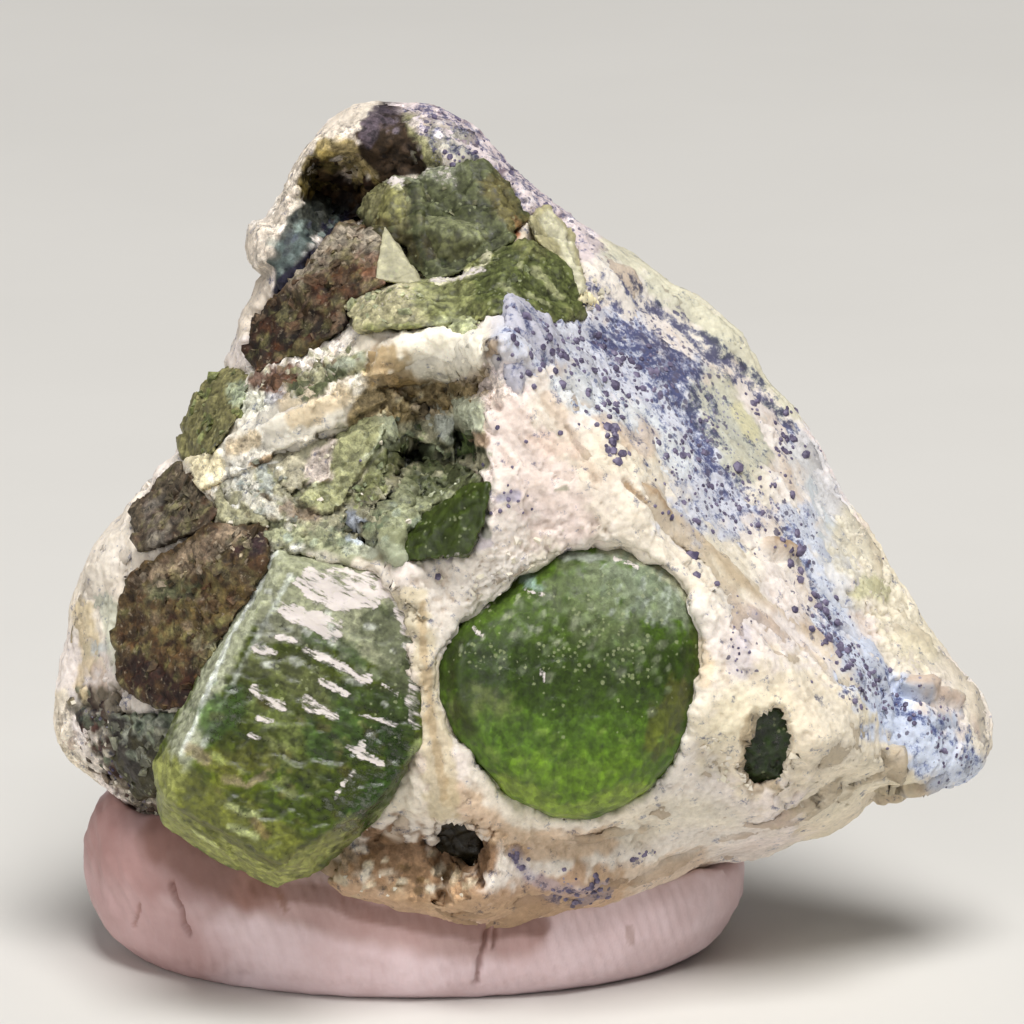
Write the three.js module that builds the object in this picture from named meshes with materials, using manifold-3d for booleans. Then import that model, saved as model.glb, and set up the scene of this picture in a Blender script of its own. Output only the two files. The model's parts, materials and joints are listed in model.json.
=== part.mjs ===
// Peridot crystals in a lump of pale magnesite, held upright by a pressed pad of putty.
// Units are millimetres, +Z is up, and the origin is the middle of the pad's flat underside.
//
// The specimen is drawn in its own face frame, in which x runs right and z up across the side that
// shows the crystals, and depth is how far a point stands out of that side, towards a viewer.
// The whole specimen then leans back on the pad.

import * as THREE from "three";
import { ConvexGeometry } from "three/addons/geometries/ConvexGeometry.js";
import { ImprovedNoise } from "three/addons/math/ImprovedNoise.js";
import { mergeVertices } from "three/addons/utils/BufferGeometryUtils.js";
import Module from "manifold-3d";

const wasm = await Module();
wasm.setup();
const noise = new ImprovedNoise();

// How the specimen stands, and the room left between neighbouring pieces
const LEAN = THREE.MathUtils.degToRad(15);
const FACE_ORIGIN = [4.1, -3.55, -2.33];
const GAP = 0.16;

// The specimen's outline in the face frame, anticlockwise from the top
const OUTLINE = [
  [-5.3, 37.6], [-7.0, 37.2], [-8.6, 36.0], [-9.7, 33.8], [-10.8, 31.7], [-10.5, 30.5], [-11.2, 28.4],
  [-11.7, 26.3], [-13.2, 24.5], [-13.5, 23.0], [-15.0, 21.5], [-17.2, 19.3], [-18.2, 16.2],
  [-18.5, 14.2], [-19.3, 11.9], [-19.1, 10.9], [-16.5, 8.6], [-13.2, 7.1], [-9.5, 5.2], [-6.7, 4.7],
  [-3.3, 4.1], [-0.6, 3.5], [2.8, 4.4], [7.0, 5.6], [10.5, 6.3], [13.9, 7.5], [15.4, 8.9], [18.7, 8.8],
  [20.1, 10.5], [19.8, 12.8], [19.0, 14.0], [18.0, 14.6], [16.7, 17.0], [15.3, 19.2], [13.5, 21.4],
  [12.5, 23.5], [11.8, 24.5], [10.6, 26.1], [9.7, 27.7], [7.8, 29.2], [5.4, 30.8], [3.3, 32.2],
  [2.0, 33.1], [0.2, 34.9], [-1.9, 36.5], [-3.5, 37.6],
];
const OUTLINE_MIDDLE = [-1.8, 16.0];
const OUTLINE_STEPS = 260;
const RIM_SHARPNESS = 6;
const LUMP_DETAIL = 15;
const FRONT_BIAS = 0.3;

// Broken faces of the lump, each a plane through three points [x, z, depth]
const FRONT_FACES = {
  crystalFace: [[-9, 12, 9.5], [3, 13, 10.2], [-3.5, 17.5, 10.4]],
  upperFace: [[-10, 24, 7.8], [0, 27, 8.8], [-4, 37, 3.4]],
  leftFlank: [[-14, 18, 7.5], [-13.5, 10, 7.5], [-18.8, 13, 1.6]],
  lowerChamfer: [[-10, 7, 8.0], [-1, 4, 6.4], [0.5, 9, 10.4]],
  lowerRight: [[6, 6.5, 8.0], [14, 9, 7.8], [9, 11, 10.4]],
  rightFlank: [[0.5, 28.5, 8.8], [12.5, 14, 8.8], [12, 24, 1.8]],
  farRight: [[14.5, 10, 7.8], [19.5, 11, 3.0], [17, 15, 3.0]],
};
const BACK_FACES = {
  broadBack: [[-8, 14, 8.5], [6, 15, 9.5], [-2, 24, 8.0]],
  upperBack: [[-4, 37, 3.0], [-9, 28, 6.0], [3, 29, 6.5]],
  rightBack: [[7, 17, 8.0], [17, 14, 3.5], [12, 9, 6.0]],
  leftBack: [[-14, 18, 7.0], [-18, 14, 3.0], [-14, 9, 5.5]],
  underBack: [[-9, 8, 6.5], [6, 8, 6.5], [-1, 4, 3.5]],
};
const FACE_BLEND = 0.45;

// A crest is a raised line, walked from its first point: left and right are how wide it is on each
// side. A negative rise makes a furrow.
const CRESTS = {
  ledge: {
    line: [[-13.3, 22.4], [-11.1, 23.8], [-7.6, 25.1], [-5.7, 27.1], [-2.6, 27.7], [-0.9, 27.1]],
    rise: 2.1, left: 1.5, right: 0.8,
  },
  spur: {
    line: [[-0.2, 29.4], [2.1, 26.0], [5.3, 21.8], [7.8, 18.5], [11.6, 14.7], [14.1, 12.6]],
    rise: 1.3, left: 1.2, right: 1.8,
  },
  spurWall: {
    line: [[-0.4, 28.8], [-0.8, 26.8], [-1.0, 24.3], [-1.3, 21.8], [-1.8, 19.9]],
    rise: 1.7, left: 2.2, right: 0.5,
  },
  wall: {
    line: [[-4.2, 17.8], [-3.8, 14.7], [-3.2, 10.5], [-1.8, 6.4]],
    rise: 0.8, left: 0.8, right: 0.7,
  },
  topRim: {
    line: [[-10.2, 31.6], [-9.0, 34.6], [-7.4, 36.4], [-5.3, 36.9]],
    rise: 1.5, left: 0.9, right: 0.8,
  },
  rightRim: {
    line: [[-3.4, 36.7], [-0.7, 34.8], [1.8, 32.2], [3.6, 30.2]],
    rise: 1.8, left: 1.3, right: 0.8,
  },
  fold: { line: [[15.3, 13.0], [15.5, 11.0], [15.2, 8.8]], rise: -1.3, left: 0.8, right: 0.5 },
  groove: { line: [[4.7, 25.6], [6.5, 20.0], [8.5, 17.2], [12.9, 14.2]], rise: -0.5, left: 0.7, right: 0.6 },
};

// A hollow is an oval dip with a flat floor: edge is the share of its radius that the wall takes up.
// A negative depth makes a swelling.
const HOLLOWS = {
  topBowl: { at: [-4.9, 32.6], radii: [4.9, 3.4], turn: -8, depth: 2.0, edge: 0.4 },
  cave: { at: [-7.2, 33.4], radii: [2.3, 2.0], turn: 40, depth: 2.8, edge: 0.5 },
  underLedge: { at: [-3.3, 22.9], radii: [2.3, 2.9], turn: 15, depth: 2.2, edge: 0.6 },
  flakeBed: { at: [-6.6, 21.6], radii: [2.8, 2.2], turn: 20, depth: 0.8, edge: 0.8 },
  brownBed: { at: [-8.5, 28.6], radii: [3.4, 2.4], turn: 35, depth: 1.8, edge: 0.5 },
  bandBed: { at: [-0.8, 29.6], radii: [3.9, 2.2], turn: 8, depth: 1.4, edge: 0.5 },
  knee: { at: [12.2, 10.6], radii: [3.4, 2.8], turn: -30, depth: -1.0, edge: 0.9 },
  farLobe: { at: [17.4, 12.2], radii: [2.0, 2.4], turn: 20, depth: -0.9, edge: 0.9 },
  crumblyHigh: { at: [14.3, 17.8], radii: [0.9, 0.7], turn: -50, depth: 0.7, edge: 0.8 },
  crumblyLow: { at: [14.6, 15.9], radii: [1.0, 0.7], turn: -40, depth: 0.7, edge: 0.8 },
};
const ROUGHNESS = { size: 3.4, height: 0.45, fineness: 2.3, fineShare: 0.5, fineShift: 7 };

// The left crystal is a stout prism that stands out of the lump. Its corners are [x, z, depth].
const LEFT_CRYSTAL = [
  [-9.8, 19.2, 8.6], [-9.2, 18.4, 10.2], [-4.6, 17.8, 9.8], [-4.0, 16.6, 10.4], [-3.8, 11.1, 10.4],
  [-13.3, 10.9, 11.0], [-14.5, 10.1, 8.8], [-13.9, 8.9, 10.4], [-9.5, 6.5, 11.2], [-5.7, 8.8, 10.8],
  [-14.2, 7.8, 7.0], [-11.8, 6.2, 7.0], [-9.5, 5.3, 7.6], [-7.9, 6.0, 8.4], [-5.5, 8.3, 8.8],
  [-9.4, 18.2, 4.0], [-5.0, 16.8, 4.0], [-4.8, 11.5, 4.0], [-12.8, 10.5, 3.6], [-12.2, 8.2, 3.0],
  [-9.5, 6.9, 3.0], [-6.4, 8.6, 3.6],
];

// The right crystal is a dome in a socket. Each ring is the share of the outline's size, and a depth.
const RIGHT_CRYSTAL = {
  outline: [
    [-3.1, 14.1], [-2.5, 15.6], [-1.2, 16.6], [0.4, 17.9], [2.0, 18.9], [3.7, 19.1], [5.8, 18.5],
    [7.2, 17.2], [7.7, 15.5], [7.6, 13.0], [6.6, 10.6], [5.3, 9.2], [3.7, 8.3], [2.0, 8.1],
    [-0.1, 9.0], [-1.8, 10.8], [-2.8, 12.4],
  ],
  rings: [[0.8, 4.0], [1.0, 8.6], [0.96, 9.9], [0.82, 10.7], [0.5, 11.1]],
  socket: [[1.0, 8.8], [1.05, 13.0]],
  corners: 22,
};

// Other crystals and fragments, each of one or more blocks grown together. A block's outline is in
// the face frame, proud is how far each corner stands out of the lump, keel is how far the block
// reaches in behind that, and taper its width there.
const CRYSTALS = {
  crystal_middle: {
    colour: 0x4f6a2c,
    blocks: [{
      outline: [
        [-4.4, 18.5], [-4.3, 19.4], [-3.4, 20.2], [-1.8, 21.3], [-1.0, 21.5], [-1.2, 20.0], [-1.8, 18.8],
      ],
      proud: [0.1, 0.0, 0.0, 0.0, 0.0, 0.1, 0.3], keel: 2.4, taper: 0.7,
    }],
  },
  crystal_top: {
    colour: 0x66704c,
    blocks: [
      {
        outline: [
          [-6.2, 32.8], [-5.8, 33.7], [-4.9, 34.3], [-3.8, 33.9], [-3.8, 32.0], [-4.5, 31.5], [-5.6, 31.8],
        ],
        proud: [0.9, 1.0, 1.0, 1.5, 1.8, 1.4, 1.2], keel: 3.2, taper: 0.75,
      },
      {
        outline: [
          [-4.0, 33.7], [-3.4, 34.6], [-1.3, 34.9], [-0.2, 33.9], [0.4, 32.5], [-0.1, 31.6],
          [-1.8, 30.5], [-3.4, 30.0], [-4.2, 30.8], [-4.2, 31.8],
        ],
        proud: [0.9, 0.6, 0.2, 0.0, 0.2, 0.9, 1.3, 1.0, 1.2, 1.5], keel: 3.4, taper: 0.75,
      },
    ],
  },
  crystal_band: {
    colour: 0x6c7a41,
    blocks: [
      {
        outline: [
          [-7.0, 29.1], [-6.5, 29.4], [-4.7, 29.3], [-2.0, 30.0], [-1.4, 28.2], [-3.8, 28.0], [-6.1, 27.9],
        ],
        proud: [1.6, 1.4, 1.5, 1.7, 1.2, 0.7, 1.0], keel: 3.2, taper: 0.75,
      },
      {
        outline: [
          [-2.1, 29.7], [-1.8, 30.5], [0.8, 31.5], [2.1, 30.6], [2.6, 29.3], [2.8, 28.5], [2.0, 28.3],
          [-0.5, 28.5], [-1.8, 28.2],
        ],
        proud: [2.0, 1.5, 1.2, 1.0, 0.5, 0.2, 0.3, 0.8, 1.4], keel: 3.4, taper: 0.75,
      },
    ],
  },
  crystal_horn: {
    colour: 0xa9a877,
    blocks: [{
      outline: [[0.7, 32.4], [1.4, 32.9], [2.1, 32.3], [2.9, 29.8], [2.6, 29.2], [1.6, 30.8]],
      proud: [1.0, 0.8, 0.6, 0.5, 0.5, 1.2], keel: 2.6, taper: 0.7,
    }],
  },
  shard: {
    colour: 0xa7a884,
    blocks: [{
      outline: [[-5.2, 32.0], [-5.5, 30.0], [-3.8, 29.9]],
      proud: [2.6, 2.2, 2.0], keel: 1.5, taper: 0.8,
    }],
  },
  weathered_crystal_upper: {
    colour: 0x6b5a44,
    blocks: [
      {
        outline: [
          [-9.0, 29.6], [-7.6, 31.6], [-6.7, 32.3], [-5.4, 31.4], [-5.2, 29.8], [-6.8, 29.2], [-8.0, 28.8],
        ],
        proud: [1.6, 1.4, 1.6, 2.0, 2.2, 2.4, 2.2], keel: 3.2, taper: 0.8,
      },
      {
        outline: [
          [-10.8, 27.2], [-10.6, 28.2], [-9.9, 29.1], [-8.8, 29.8], [-7.0, 29.4], [-6.7, 28.2],
          [-8.4, 27.1], [-10.4, 26.3],
        ],
        proud: [0.6, 0.8, 0.9, 1.6, 1.8, 1.2, 0.9, 0.6], keel: 3.0, taper: 0.8,
      },
    ],
  },
  weathered_crystal_lower: {
    colour: 0x5f4d3a,
    blocks: [{
      outline: [
        [-14.7, 18.3], [-12.3, 19.9], [-10.0, 19.8], [-10.1, 18.3], [-11.8, 14.3], [-13.2, 12.5],
        [-14.8, 12.7], [-16.0, 13.4], [-16.3, 15.6], [-15.5, 17.8],
      ],
      proud: [0.9, 0.8, 0.3, 0.3, 0.3, 0.6, 1.0, 1.2, 1.4, 1.2], keel: 4.0, taper: 0.75,
    }],
  },
  crystal_edge: {
    colour: 0x707046,
    blocks: [{
      outline: [
        [-12.6, 25.7], [-11.7, 26.4], [-10.8, 25.8], [-11.5, 24.0], [-12.2, 23.0], [-13.5, 22.7],
        [-13.7, 24.0],
      ],
      proud: [0.9, 0.9, 0.8, 0.6, 0.5, 0.8, 1.2], keel: 3.0, taper: 0.8,
    }],
  },
  weathered_plate: {
    colour: 0x5d5647,
    blocks: [{
      outline: [[-13.7, 22.3], [-12.1, 20.5], [-12.6, 19.8], [-15.2, 19.0], [-15.6, 20.5], [-14.2, 21.9]],
      proud: [0.6, 0.6, 0.6, 0.9, 1.2, 0.9], keel: 3.0, taper: 0.8,
    }],
  },
  crystal_corner: {
    colour: 0x76785c,
    blocks: [{
      outline: [
        [-16.4, 12.0], [-14.9, 12.1], [-13.6, 12.2], [-14.5, 10.6], [-14.8, 8.9], [-15.4, 8.7], [-16.2, 10.0],
      ],
      proud: [0.5, 0.6, 0.3, 0.4, 0.5, 0.5, 0.7], keel: 2.6, taper: 0.75,
    }],
  },
};

// Crystals seen only through a hole in the lump
const HIDDEN_CRYSTALS = {
  window_crystal_right: {
    colour: 0x24401a,
    hole: [
      [9.5, 11.0], [10.0, 12.1], [10.8, 12.3], [11.2, 11.8], [11.4, 10.6], [11.1, 9.6], [10.2, 9.1],
      [9.6, 9.6],
    ],
  },
  window_crystal_low: {
    colour: 0x3a3d1c,
    hole: [
      [-3.1, 7.5], [-2.6, 8.0], [-1.7, 7.9], [-1.0, 7.3], [-0.9, 6.5], [-1.6, 6.3], [-2.5, 6.6], [-3.1, 6.9],
    ],
  },
};
const HOLE = {
  depth: 1.6, above: 2.5, narrowing: 0.85, crystalBelow: -1.1, crystalSize: 1.3, keel: 2.4, taper: 0.7,
};

// The pad's profile is a share of its half width, and a height. It is a little taller at its left end.
const PAD = {
  halfWidth: 13.9,
  halfDepth: 9.0,
  leftRise: 0.1,
  facets: 36,
  profile: [
    [0.86, 0], [0.95, 1.0], [0.995, 2.4], [1.0, 4.0], [0.97, 5.4], [0.88, 6.7], [0.72, 7.2], [0.4, 7.4],
  ],
  middleHeight: 7.4,
};

const COLOURS = { matrix: 0xe6dcc8, crystalLeft: 0x4c7a1e, crystalRight: 0x3f7a1a, pad: 0xd8c2c2 };

// A closed mesh as a solid that can be cut and joined
function solidOf(geometry) {
  const bare = geometry.clone();
  bare.deleteAttribute("normal");
  bare.deleteAttribute("uv");
  const merged = mergeVertices(bare, 1e-5);
  return new wasm.Manifold(new wasm.Mesh({
    numProp: 3,
    vertProperties: merged.attributes.position.array,
    triVerts: new Uint32Array(merged.index.array),
  }));
}

function geometryOf(solid) {
  const mesh = solid.getMesh();
  const positions = new Float32Array(mesh.numVert * 3);
  for (let i = 0; i < mesh.numVert; i++) {
    positions.set(mesh.vertProperties.subarray(i * mesh.numProp, i * mesh.numProp + 3), i * 3);
  }
  const geometry = new THREE.BufferGeometry();
  geometry.setAttribute("position", new THREE.BufferAttribute(positions, 3));
  geometry.setIndex(new THREE.BufferAttribute(mesh.triVerts, 1));
  geometry.computeVertexNormals();
  return geometry;
}

// Cutting can leave a crumb beside a piece, so only its largest body is kept
function largestBody(solid) {
  return solid.decompose().sort((a, b) => b.volume() - a.volume())[0];
}

// A closed smooth line through points [x, z] of the face frame
function closedCurve(points) {
  return new THREE.CatmullRomCurve3(points.map(([x, z]) => new THREE.Vector3(x, 0, z)), true, "centripetal");
}

const outlinePoints = closedCurve(OUTLINE).getPoints(OUTLINE_STEPS);

// The distance from the middle of the outline to the outline, along an angle
function outlineRadius(angle) {
  const [middleX, middleZ] = OUTLINE_MIDDLE;
  const dx = Math.cos(angle);
  const dz = Math.sin(angle);
  let furthest = 0;
  for (let i = 0; i + 1 < outlinePoints.length; i++) {
    const ax = outlinePoints[i].x - middleX;
    const az = outlinePoints[i].z - middleZ;
    const bx = outlinePoints[i + 1].x - middleX;
    const bz = outlinePoints[i + 1].z - middleZ;
    const sideA = dx * az - dz * ax;
    const sideB = dx * bz - dz * bx;
    if (sideA * sideB > 0 || sideA === sideB) continue;
    const t = sideA / (sideA - sideB);
    furthest = Math.max(furthest, (ax + t * (bx - ax)) * dx + (az + t * (bz - az)) * dz);
  }
  return furthest;
}

// The depth, at any x and z, of the plane through three points
function planeThrough([a, b, c]) {
  const [ux, uz, ud] = b.map((value, i) => value - a[i]);
  const [vx, vz, vd] = c.map((value, i) => value - a[i]);
  const cross = ux * vz - uz * vx;
  const slopeX = (ud * vz - uz * vd) / cross;
  const slopeZ = (ux * vd - ud * vx) / cross;
  return (x, z) => a[2] + slopeX * (x - a[0]) + slopeZ * (z - a[1]);
}

const frontPlanes = Object.values(FRONT_FACES).map(planeThrough);
const backPlanes = Object.values(BACK_FACES).map(planeThrough);

// The lowest of several planes, with the edges between them eased
function brokenFace(planes, x, z) {
  const sum = planes.reduce((total, plane) => total + Math.exp(-plane(x, z) / FACE_BLEND), 0);
  return -FACE_BLEND * Math.log(sum);
}

// How far a place is from a line of points, and whether it is on the left of it
function besideLine(line, x, z) {
  let away = Infinity;
  let left = true;
  for (let i = 0; i + 1 < line.length; i++) {
    const [ax, az] = line[i];
    const alongX = line[i + 1][0] - ax;
    const alongZ = line[i + 1][1] - az;
    const share = ((x - ax) * alongX + (z - az) * alongZ) / (alongX ** 2 + alongZ ** 2);
    const t = THREE.MathUtils.clamp(share, 0, 1);
    const distance = Math.hypot(x - ax - t * alongX, z - az - t * alongZ);
    if (distance >= away) continue;
    away = distance;
    left = alongX * (z - az) >= alongZ * (x - ax);
  }
  return { away, left };
}

function crestHeight(crest, x, z) {
  const { away, left } = besideLine(crest.line, x, z);
  const width = left ? crest.left : crest.right;
  return crest.rise * Math.exp(-((away / width) ** 2));
}

function hollowDepth(hollow, x, z) {
  const turn = THREE.MathUtils.degToRad(hollow.turn);
  const dx = x - hollow.at[0];
  const dz = z - hollow.at[1];
  const across = (dx * Math.cos(turn) + dz * Math.sin(turn)) / hollow.radii[0];
  const along = (-dx * Math.sin(turn) + dz * Math.cos(turn)) / hollow.radii[1];
  const reach = Math.hypot(across, along);
  return hollow.depth * (1 - THREE.MathUtils.smoothstep(reach, 1 - hollow.edge, 1));
}

function frontDepth(x, z) {
  let depth = brokenFace(frontPlanes, x, z);
  for (const crest of Object.values(CRESTS)) depth += crestHeight(crest, x, z);
  for (const hollow of Object.values(HOLLOWS)) depth -= hollowDepth(hollow, x, z);
  return depth;
}

// The lump rounds off towards its outline, where share is 1
function rimShare(share) {
  return Math.sqrt(1 - Math.min(share, 1) ** RIM_SHARPNESS);
}

// The depth of the lump's front at a place in the face frame
function surfaceDepth(x, z) {
  const dx = x - OUTLINE_MIDDLE[0];
  const dz = z - OUTLINE_MIDDLE[1];
  return rimShare(Math.hypot(dx, dz) / outlineRadius(Math.atan2(dz, dx))) * frontDepth(x, z);
}

function roughness(x, y, z) {
  const { size, height, fineness, fineShare, fineShift } = ROUGHNESS;
  const fineSize = size / fineness;
  const coarse = noise.noise(x / size, y / size, z / size);
  const fine = noise.noise(x / fineSize + fineShift, y / fineSize, z / fineSize);
  return height * (coarse + fineShare * fine);
}

// The lump of matrix: a ball drawn out to the outline, with its front and back laid on the broken
// faces, and its surface roughened and moved out by grow. More of the ball's corners are drawn to
// the front, which has the finer shapes.
function lumpGeometry(grow) {
  const ball = new THREE.IcosahedronGeometry(1, LUMP_DETAIL);
  ball.deleteAttribute("normal");
  ball.deleteAttribute("uv");
  const lump = mergeVertices(ball, 1e-4);
  const place = lump.attributes.position;
  for (let i = 0; i < place.count; i++) {
    const direction = new THREE.Vector3(place.getX(i), place.getY(i) - FRONT_BIAS, place.getZ(i)).normalize();
    const share = Math.min(Math.hypot(direction.x, direction.z), 1);
    const angle = Math.atan2(direction.z, direction.x);
    const radius = outlineRadius(angle) * share;
    const x = OUTLINE_MIDDLE[0] + radius * Math.cos(angle);
    const z = OUTLINE_MIDDLE[1] + radius * Math.sin(angle);
    const isFront = direction.y < 0;
    const depth = rimShare(share) * (isFront ? frontDepth(x, z) : brokenFace(backPlanes, x, z));
    place.setXYZ(i, x, isFront ? -depth : depth, z);
  }
  lump.computeVertexNormals();
  const normal = lump.attributes.normal;
  for (let i = 0; i < place.count; i++) {
    const out = grow + roughness(place.getX(i), place.getY(i), place.getZ(i));
    place.setXYZ(
      i,
      place.getX(i) + out * normal.getX(i),
      place.getY(i) + out * normal.getY(i),
      place.getZ(i) + out * normal.getZ(i),
    );
  }
  return lump;
}

// The convex hull of points [x, z, depth], with room left all round it where a gap is given
function hullSolid(points, gap) {
  const shifts = gap > 0 ? [-gap, gap] : [0];
  const corners = [];
  for (const [x, z, depth] of points) {
    for (const dx of shifts) {
      for (const dy of shifts) {
        for (const dz of shifts) corners.push(new THREE.Vector3(x + dx, dy - depth, z + dz));
      }
    }
  }
  return solidOf(new ConvexGeometry(corners));
}

function middleOf(outline) {
  const sum = outline.reduce(([sumX, sumZ], [x, z]) => [sumX + x, sumZ + z], [0, 0]);
  return sum.map((value) => value / outline.length);
}

// An outline drawn larger or smaller about its own middle
function scaledOutline(outline, scale) {
  const [middleX, middleZ] = middleOf(outline);
  return outline.map(([x, z]) => [middleX + scale * (x - middleX), middleZ + scale * (z - middleZ)]);
}

function blockPoints({ outline, proud, keel, taper }) {
  const depths = outline.map(([x, z], i) => surfaceDepth(x, z) + proud[i]);
  const shown = outline.map(([x, z], i) => [x, z, depths[i]]);
  const buried = scaledOutline(outline, taper).map(([x, z], i) => [x, z, depths[i] - keel]);
  return [...shown, ...buried];
}

function ringPoints(outline, rings) {
  return rings.flatMap(([scale, depth]) => scaledOutline(outline, scale).map(([x, z]) => [x, z, depth]));
}

function holePoints({ hole }) {
  const mouth = hole.map(([x, z]) => [x, z, surfaceDepth(x, z) + HOLE.above]);
  const floor = scaledOutline(hole, HOLE.narrowing).map(([x, z]) => [x, z, surfaceDepth(x, z) - HOLE.depth]);
  return [...mouth, ...floor];
}

function hiddenBlock({ hole }) {
  const outline = scaledOutline(hole, HOLE.crystalSize);
  return { outline, proud: outline.map(() => HOLE.crystalBelow), keel: HOLE.keel, taper: HOLE.taper };
}

const crystalRightOutline = closedCurve(RIGHT_CRYSTAL.outline)
  .getPoints(RIGHT_CRYSTAL.corners)
  .slice(0, -1)
  .map((point) => [point.x, point.z]);

// Every crystal as the point sets of the convex blocks that it is made of
const crystals = [
  { name: "crystal_left", colour: COLOURS.crystalLeft, hulls: [LEFT_CRYSTAL] },
  {
    name: "crystal_right",
    colour: COLOURS.crystalRight,
    hulls: [ringPoints(crystalRightOutline, RIGHT_CRYSTAL.rings)],
  },
];
for (const [name, { colour, blocks }] of Object.entries(CRYSTALS)) {
  crystals.push({ name, colour, hulls: blocks.map(blockPoints) });
}
for (const [name, hidden] of Object.entries(HIDDEN_CRYSTALS)) {
  crystals.push({ name, colour: hidden.colour, hulls: [blockPoints(hiddenBlock(hidden))] });
}

function namedMesh(name, solid, colour, roughnessOfSurface) {
  const finish = { color: colour, roughness: roughnessOfSurface, metalness: 0 };
  const mesh = new THREE.Mesh(geometryOf(largestBody(solid)), new THREE.MeshStandardMaterial(finish));
  mesh.name = name;
  return mesh;
}

function joined(solids) {
  return solids.reduce((whole, solid) => whole.add(solid));
}

const face = new THREE.Group();
face.position.set(...FACE_ORIGIN);
const specimen = new THREE.Group();
specimen.rotation.x = -LEAN;
specimen.add(face);

// Each crystal is cut to leave room for those before it, and the lump for all of them
const rooms = [];
for (const { name, colour, hulls } of crystals) {
  const whole = joined(hulls.map((hull) => hullSolid(hull, 0)));
  const crystal = rooms.reduce((rest, room) => rest.subtract(room), whole);
  rooms.push(...hulls.map((hull) => hullSolid(hull, GAP)));
  face.add(namedMesh(name, crystal, colour, 0.25));
}

const openings = Object.values(HIDDEN_CRYSTALS).map((hidden) => hullSolid(holePoints(hidden), 0));
openings.push(hullSolid(ringPoints(crystalRightOutline, RIGHT_CRYSTAL.socket), 0));
const lump = [...rooms, ...openings].reduce((rest, room) => rest.subtract(room), solidOf(lumpGeometry(0)));
face.add(namedMesh("matrix", lump, COLOURS.matrix, 0.7));

// The pad is a pressed oval with a flat underside, and the specimen's print in its top
function padGeometry() {
  const { halfWidth, halfDepth, leftRise, profile, middleHeight, facets } = PAD;
  const outline = [new THREE.Vector2(0, 0)];
  for (const [share, height] of profile) outline.push(new THREE.Vector2(share * halfWidth, height));
  outline.push(new THREE.Vector2(0, middleHeight));
  const pad = new THREE.LatheGeometry(outline, facets);
  pad.rotateX(Math.PI / 2);
  pad.scale(1, halfDepth / halfWidth, 1);
  const place = pad.attributes.position;
  for (let i = 0; i < place.count; i++) {
    place.setZ(i, place.getZ(i) * (1 - leftRise * place.getX(i) / halfWidth));
  }
  return pad;
}

specimen.updateMatrixWorld(true);
const faceToWorld = face.matrixWorld.toArray();
const prints = [solidOf(lumpGeometry(GAP)), ...rooms].map((print) => print.transform(faceToWorld));
const padSolid = prints.reduce((rest, print) => rest.subtract(print), solidOf(padGeometry()));

const peridotSpecimen = new THREE.Group();
peridotSpecimen.add(specimen, namedMesh("putty_pad", padSolid, COLOURS.pad, 0.85));
export default peridotSpecimen;
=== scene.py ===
# %% [markdown]
# # A peridot specimen
# The real object is a lump of chalky magnesite, about as wide as a thumb is long, with green peridot
# crystals in it, on a pad of putty. Minerals like this are dull to look at as plain solids: what the eye
# knows them by is the torn chalk, the stains, the dark grains, and the light that sinks into the crystals.
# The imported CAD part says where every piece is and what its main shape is. This script lays the real
# surfaces over those shapes.

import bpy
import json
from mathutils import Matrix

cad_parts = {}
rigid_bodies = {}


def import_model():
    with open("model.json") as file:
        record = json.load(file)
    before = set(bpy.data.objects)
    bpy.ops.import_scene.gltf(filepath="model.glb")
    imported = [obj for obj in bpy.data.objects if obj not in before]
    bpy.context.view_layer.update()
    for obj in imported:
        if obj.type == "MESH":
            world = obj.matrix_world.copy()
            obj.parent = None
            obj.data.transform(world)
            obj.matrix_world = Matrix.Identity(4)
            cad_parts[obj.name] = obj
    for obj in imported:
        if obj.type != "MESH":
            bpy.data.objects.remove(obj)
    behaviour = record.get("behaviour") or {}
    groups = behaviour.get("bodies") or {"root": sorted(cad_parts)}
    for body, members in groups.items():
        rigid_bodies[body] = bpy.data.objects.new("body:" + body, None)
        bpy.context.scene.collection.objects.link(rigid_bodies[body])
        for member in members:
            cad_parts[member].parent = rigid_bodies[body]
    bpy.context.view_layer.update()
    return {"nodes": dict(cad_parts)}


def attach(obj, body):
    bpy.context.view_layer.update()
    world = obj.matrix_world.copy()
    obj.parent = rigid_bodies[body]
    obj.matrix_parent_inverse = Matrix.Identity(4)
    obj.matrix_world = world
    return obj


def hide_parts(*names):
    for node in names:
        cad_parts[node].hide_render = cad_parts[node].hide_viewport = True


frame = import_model()

# %% The tools that the lesson uses
import json
import math
import random

import bmesh
import bpy
import numpy as np
from mathutils import Matrix, Vector, noise
from mathutils.bvhtree import BVHTree

# %% [markdown]
# ## The face frame
# The specimen leans back on its pad. Its details are easier to place on its own face, where x runs right,
# z runs up the face, and y runs into the stone, all in millimetres. The photograph was taken square to
# that face, so 24 of its pixels are a millimetre everywhere on it, and places can be read off it.

# %% Face frame and photograph pixels
MM = 0.001
LEAN = math.radians(15)
FACE_ORIGIN = Vector((4.1, -3.55, -2.33))
PIXELS_PER_MM = 24
PHOTO_MIDDLE = 512
PHOTO_GROUND = 1003

face_to_world = (
    Matrix.Diagonal((MM, MM, MM, 1)) @ Matrix.Rotation(-LEAN, 4, "X") @ Matrix.Translation(FACE_ORIGIN)
)
world_to_face = face_to_world.inverted()


def on_face(px, py):
    """A place in the photograph as x and z on the face, in millimetres."""
    return (px - PHOTO_MIDDLE) / PIXELS_PER_MM, (PHOTO_GROUND - py) / PIXELS_PER_MM


print("the photograph's middle is at", on_face(512, 512), "mm on the face")

# %% [markdown]
# ## Camera, light and floor
# The camera stands level with the photographer's, 15 degrees above the table, with a long lens, because
# small minerals are taken from a distance to keep them undistorted. A large soft lamp above and a little
# in front lights the ledges and leaves the hollows dark, as in the photograph, and a weaker one fills in.

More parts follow.
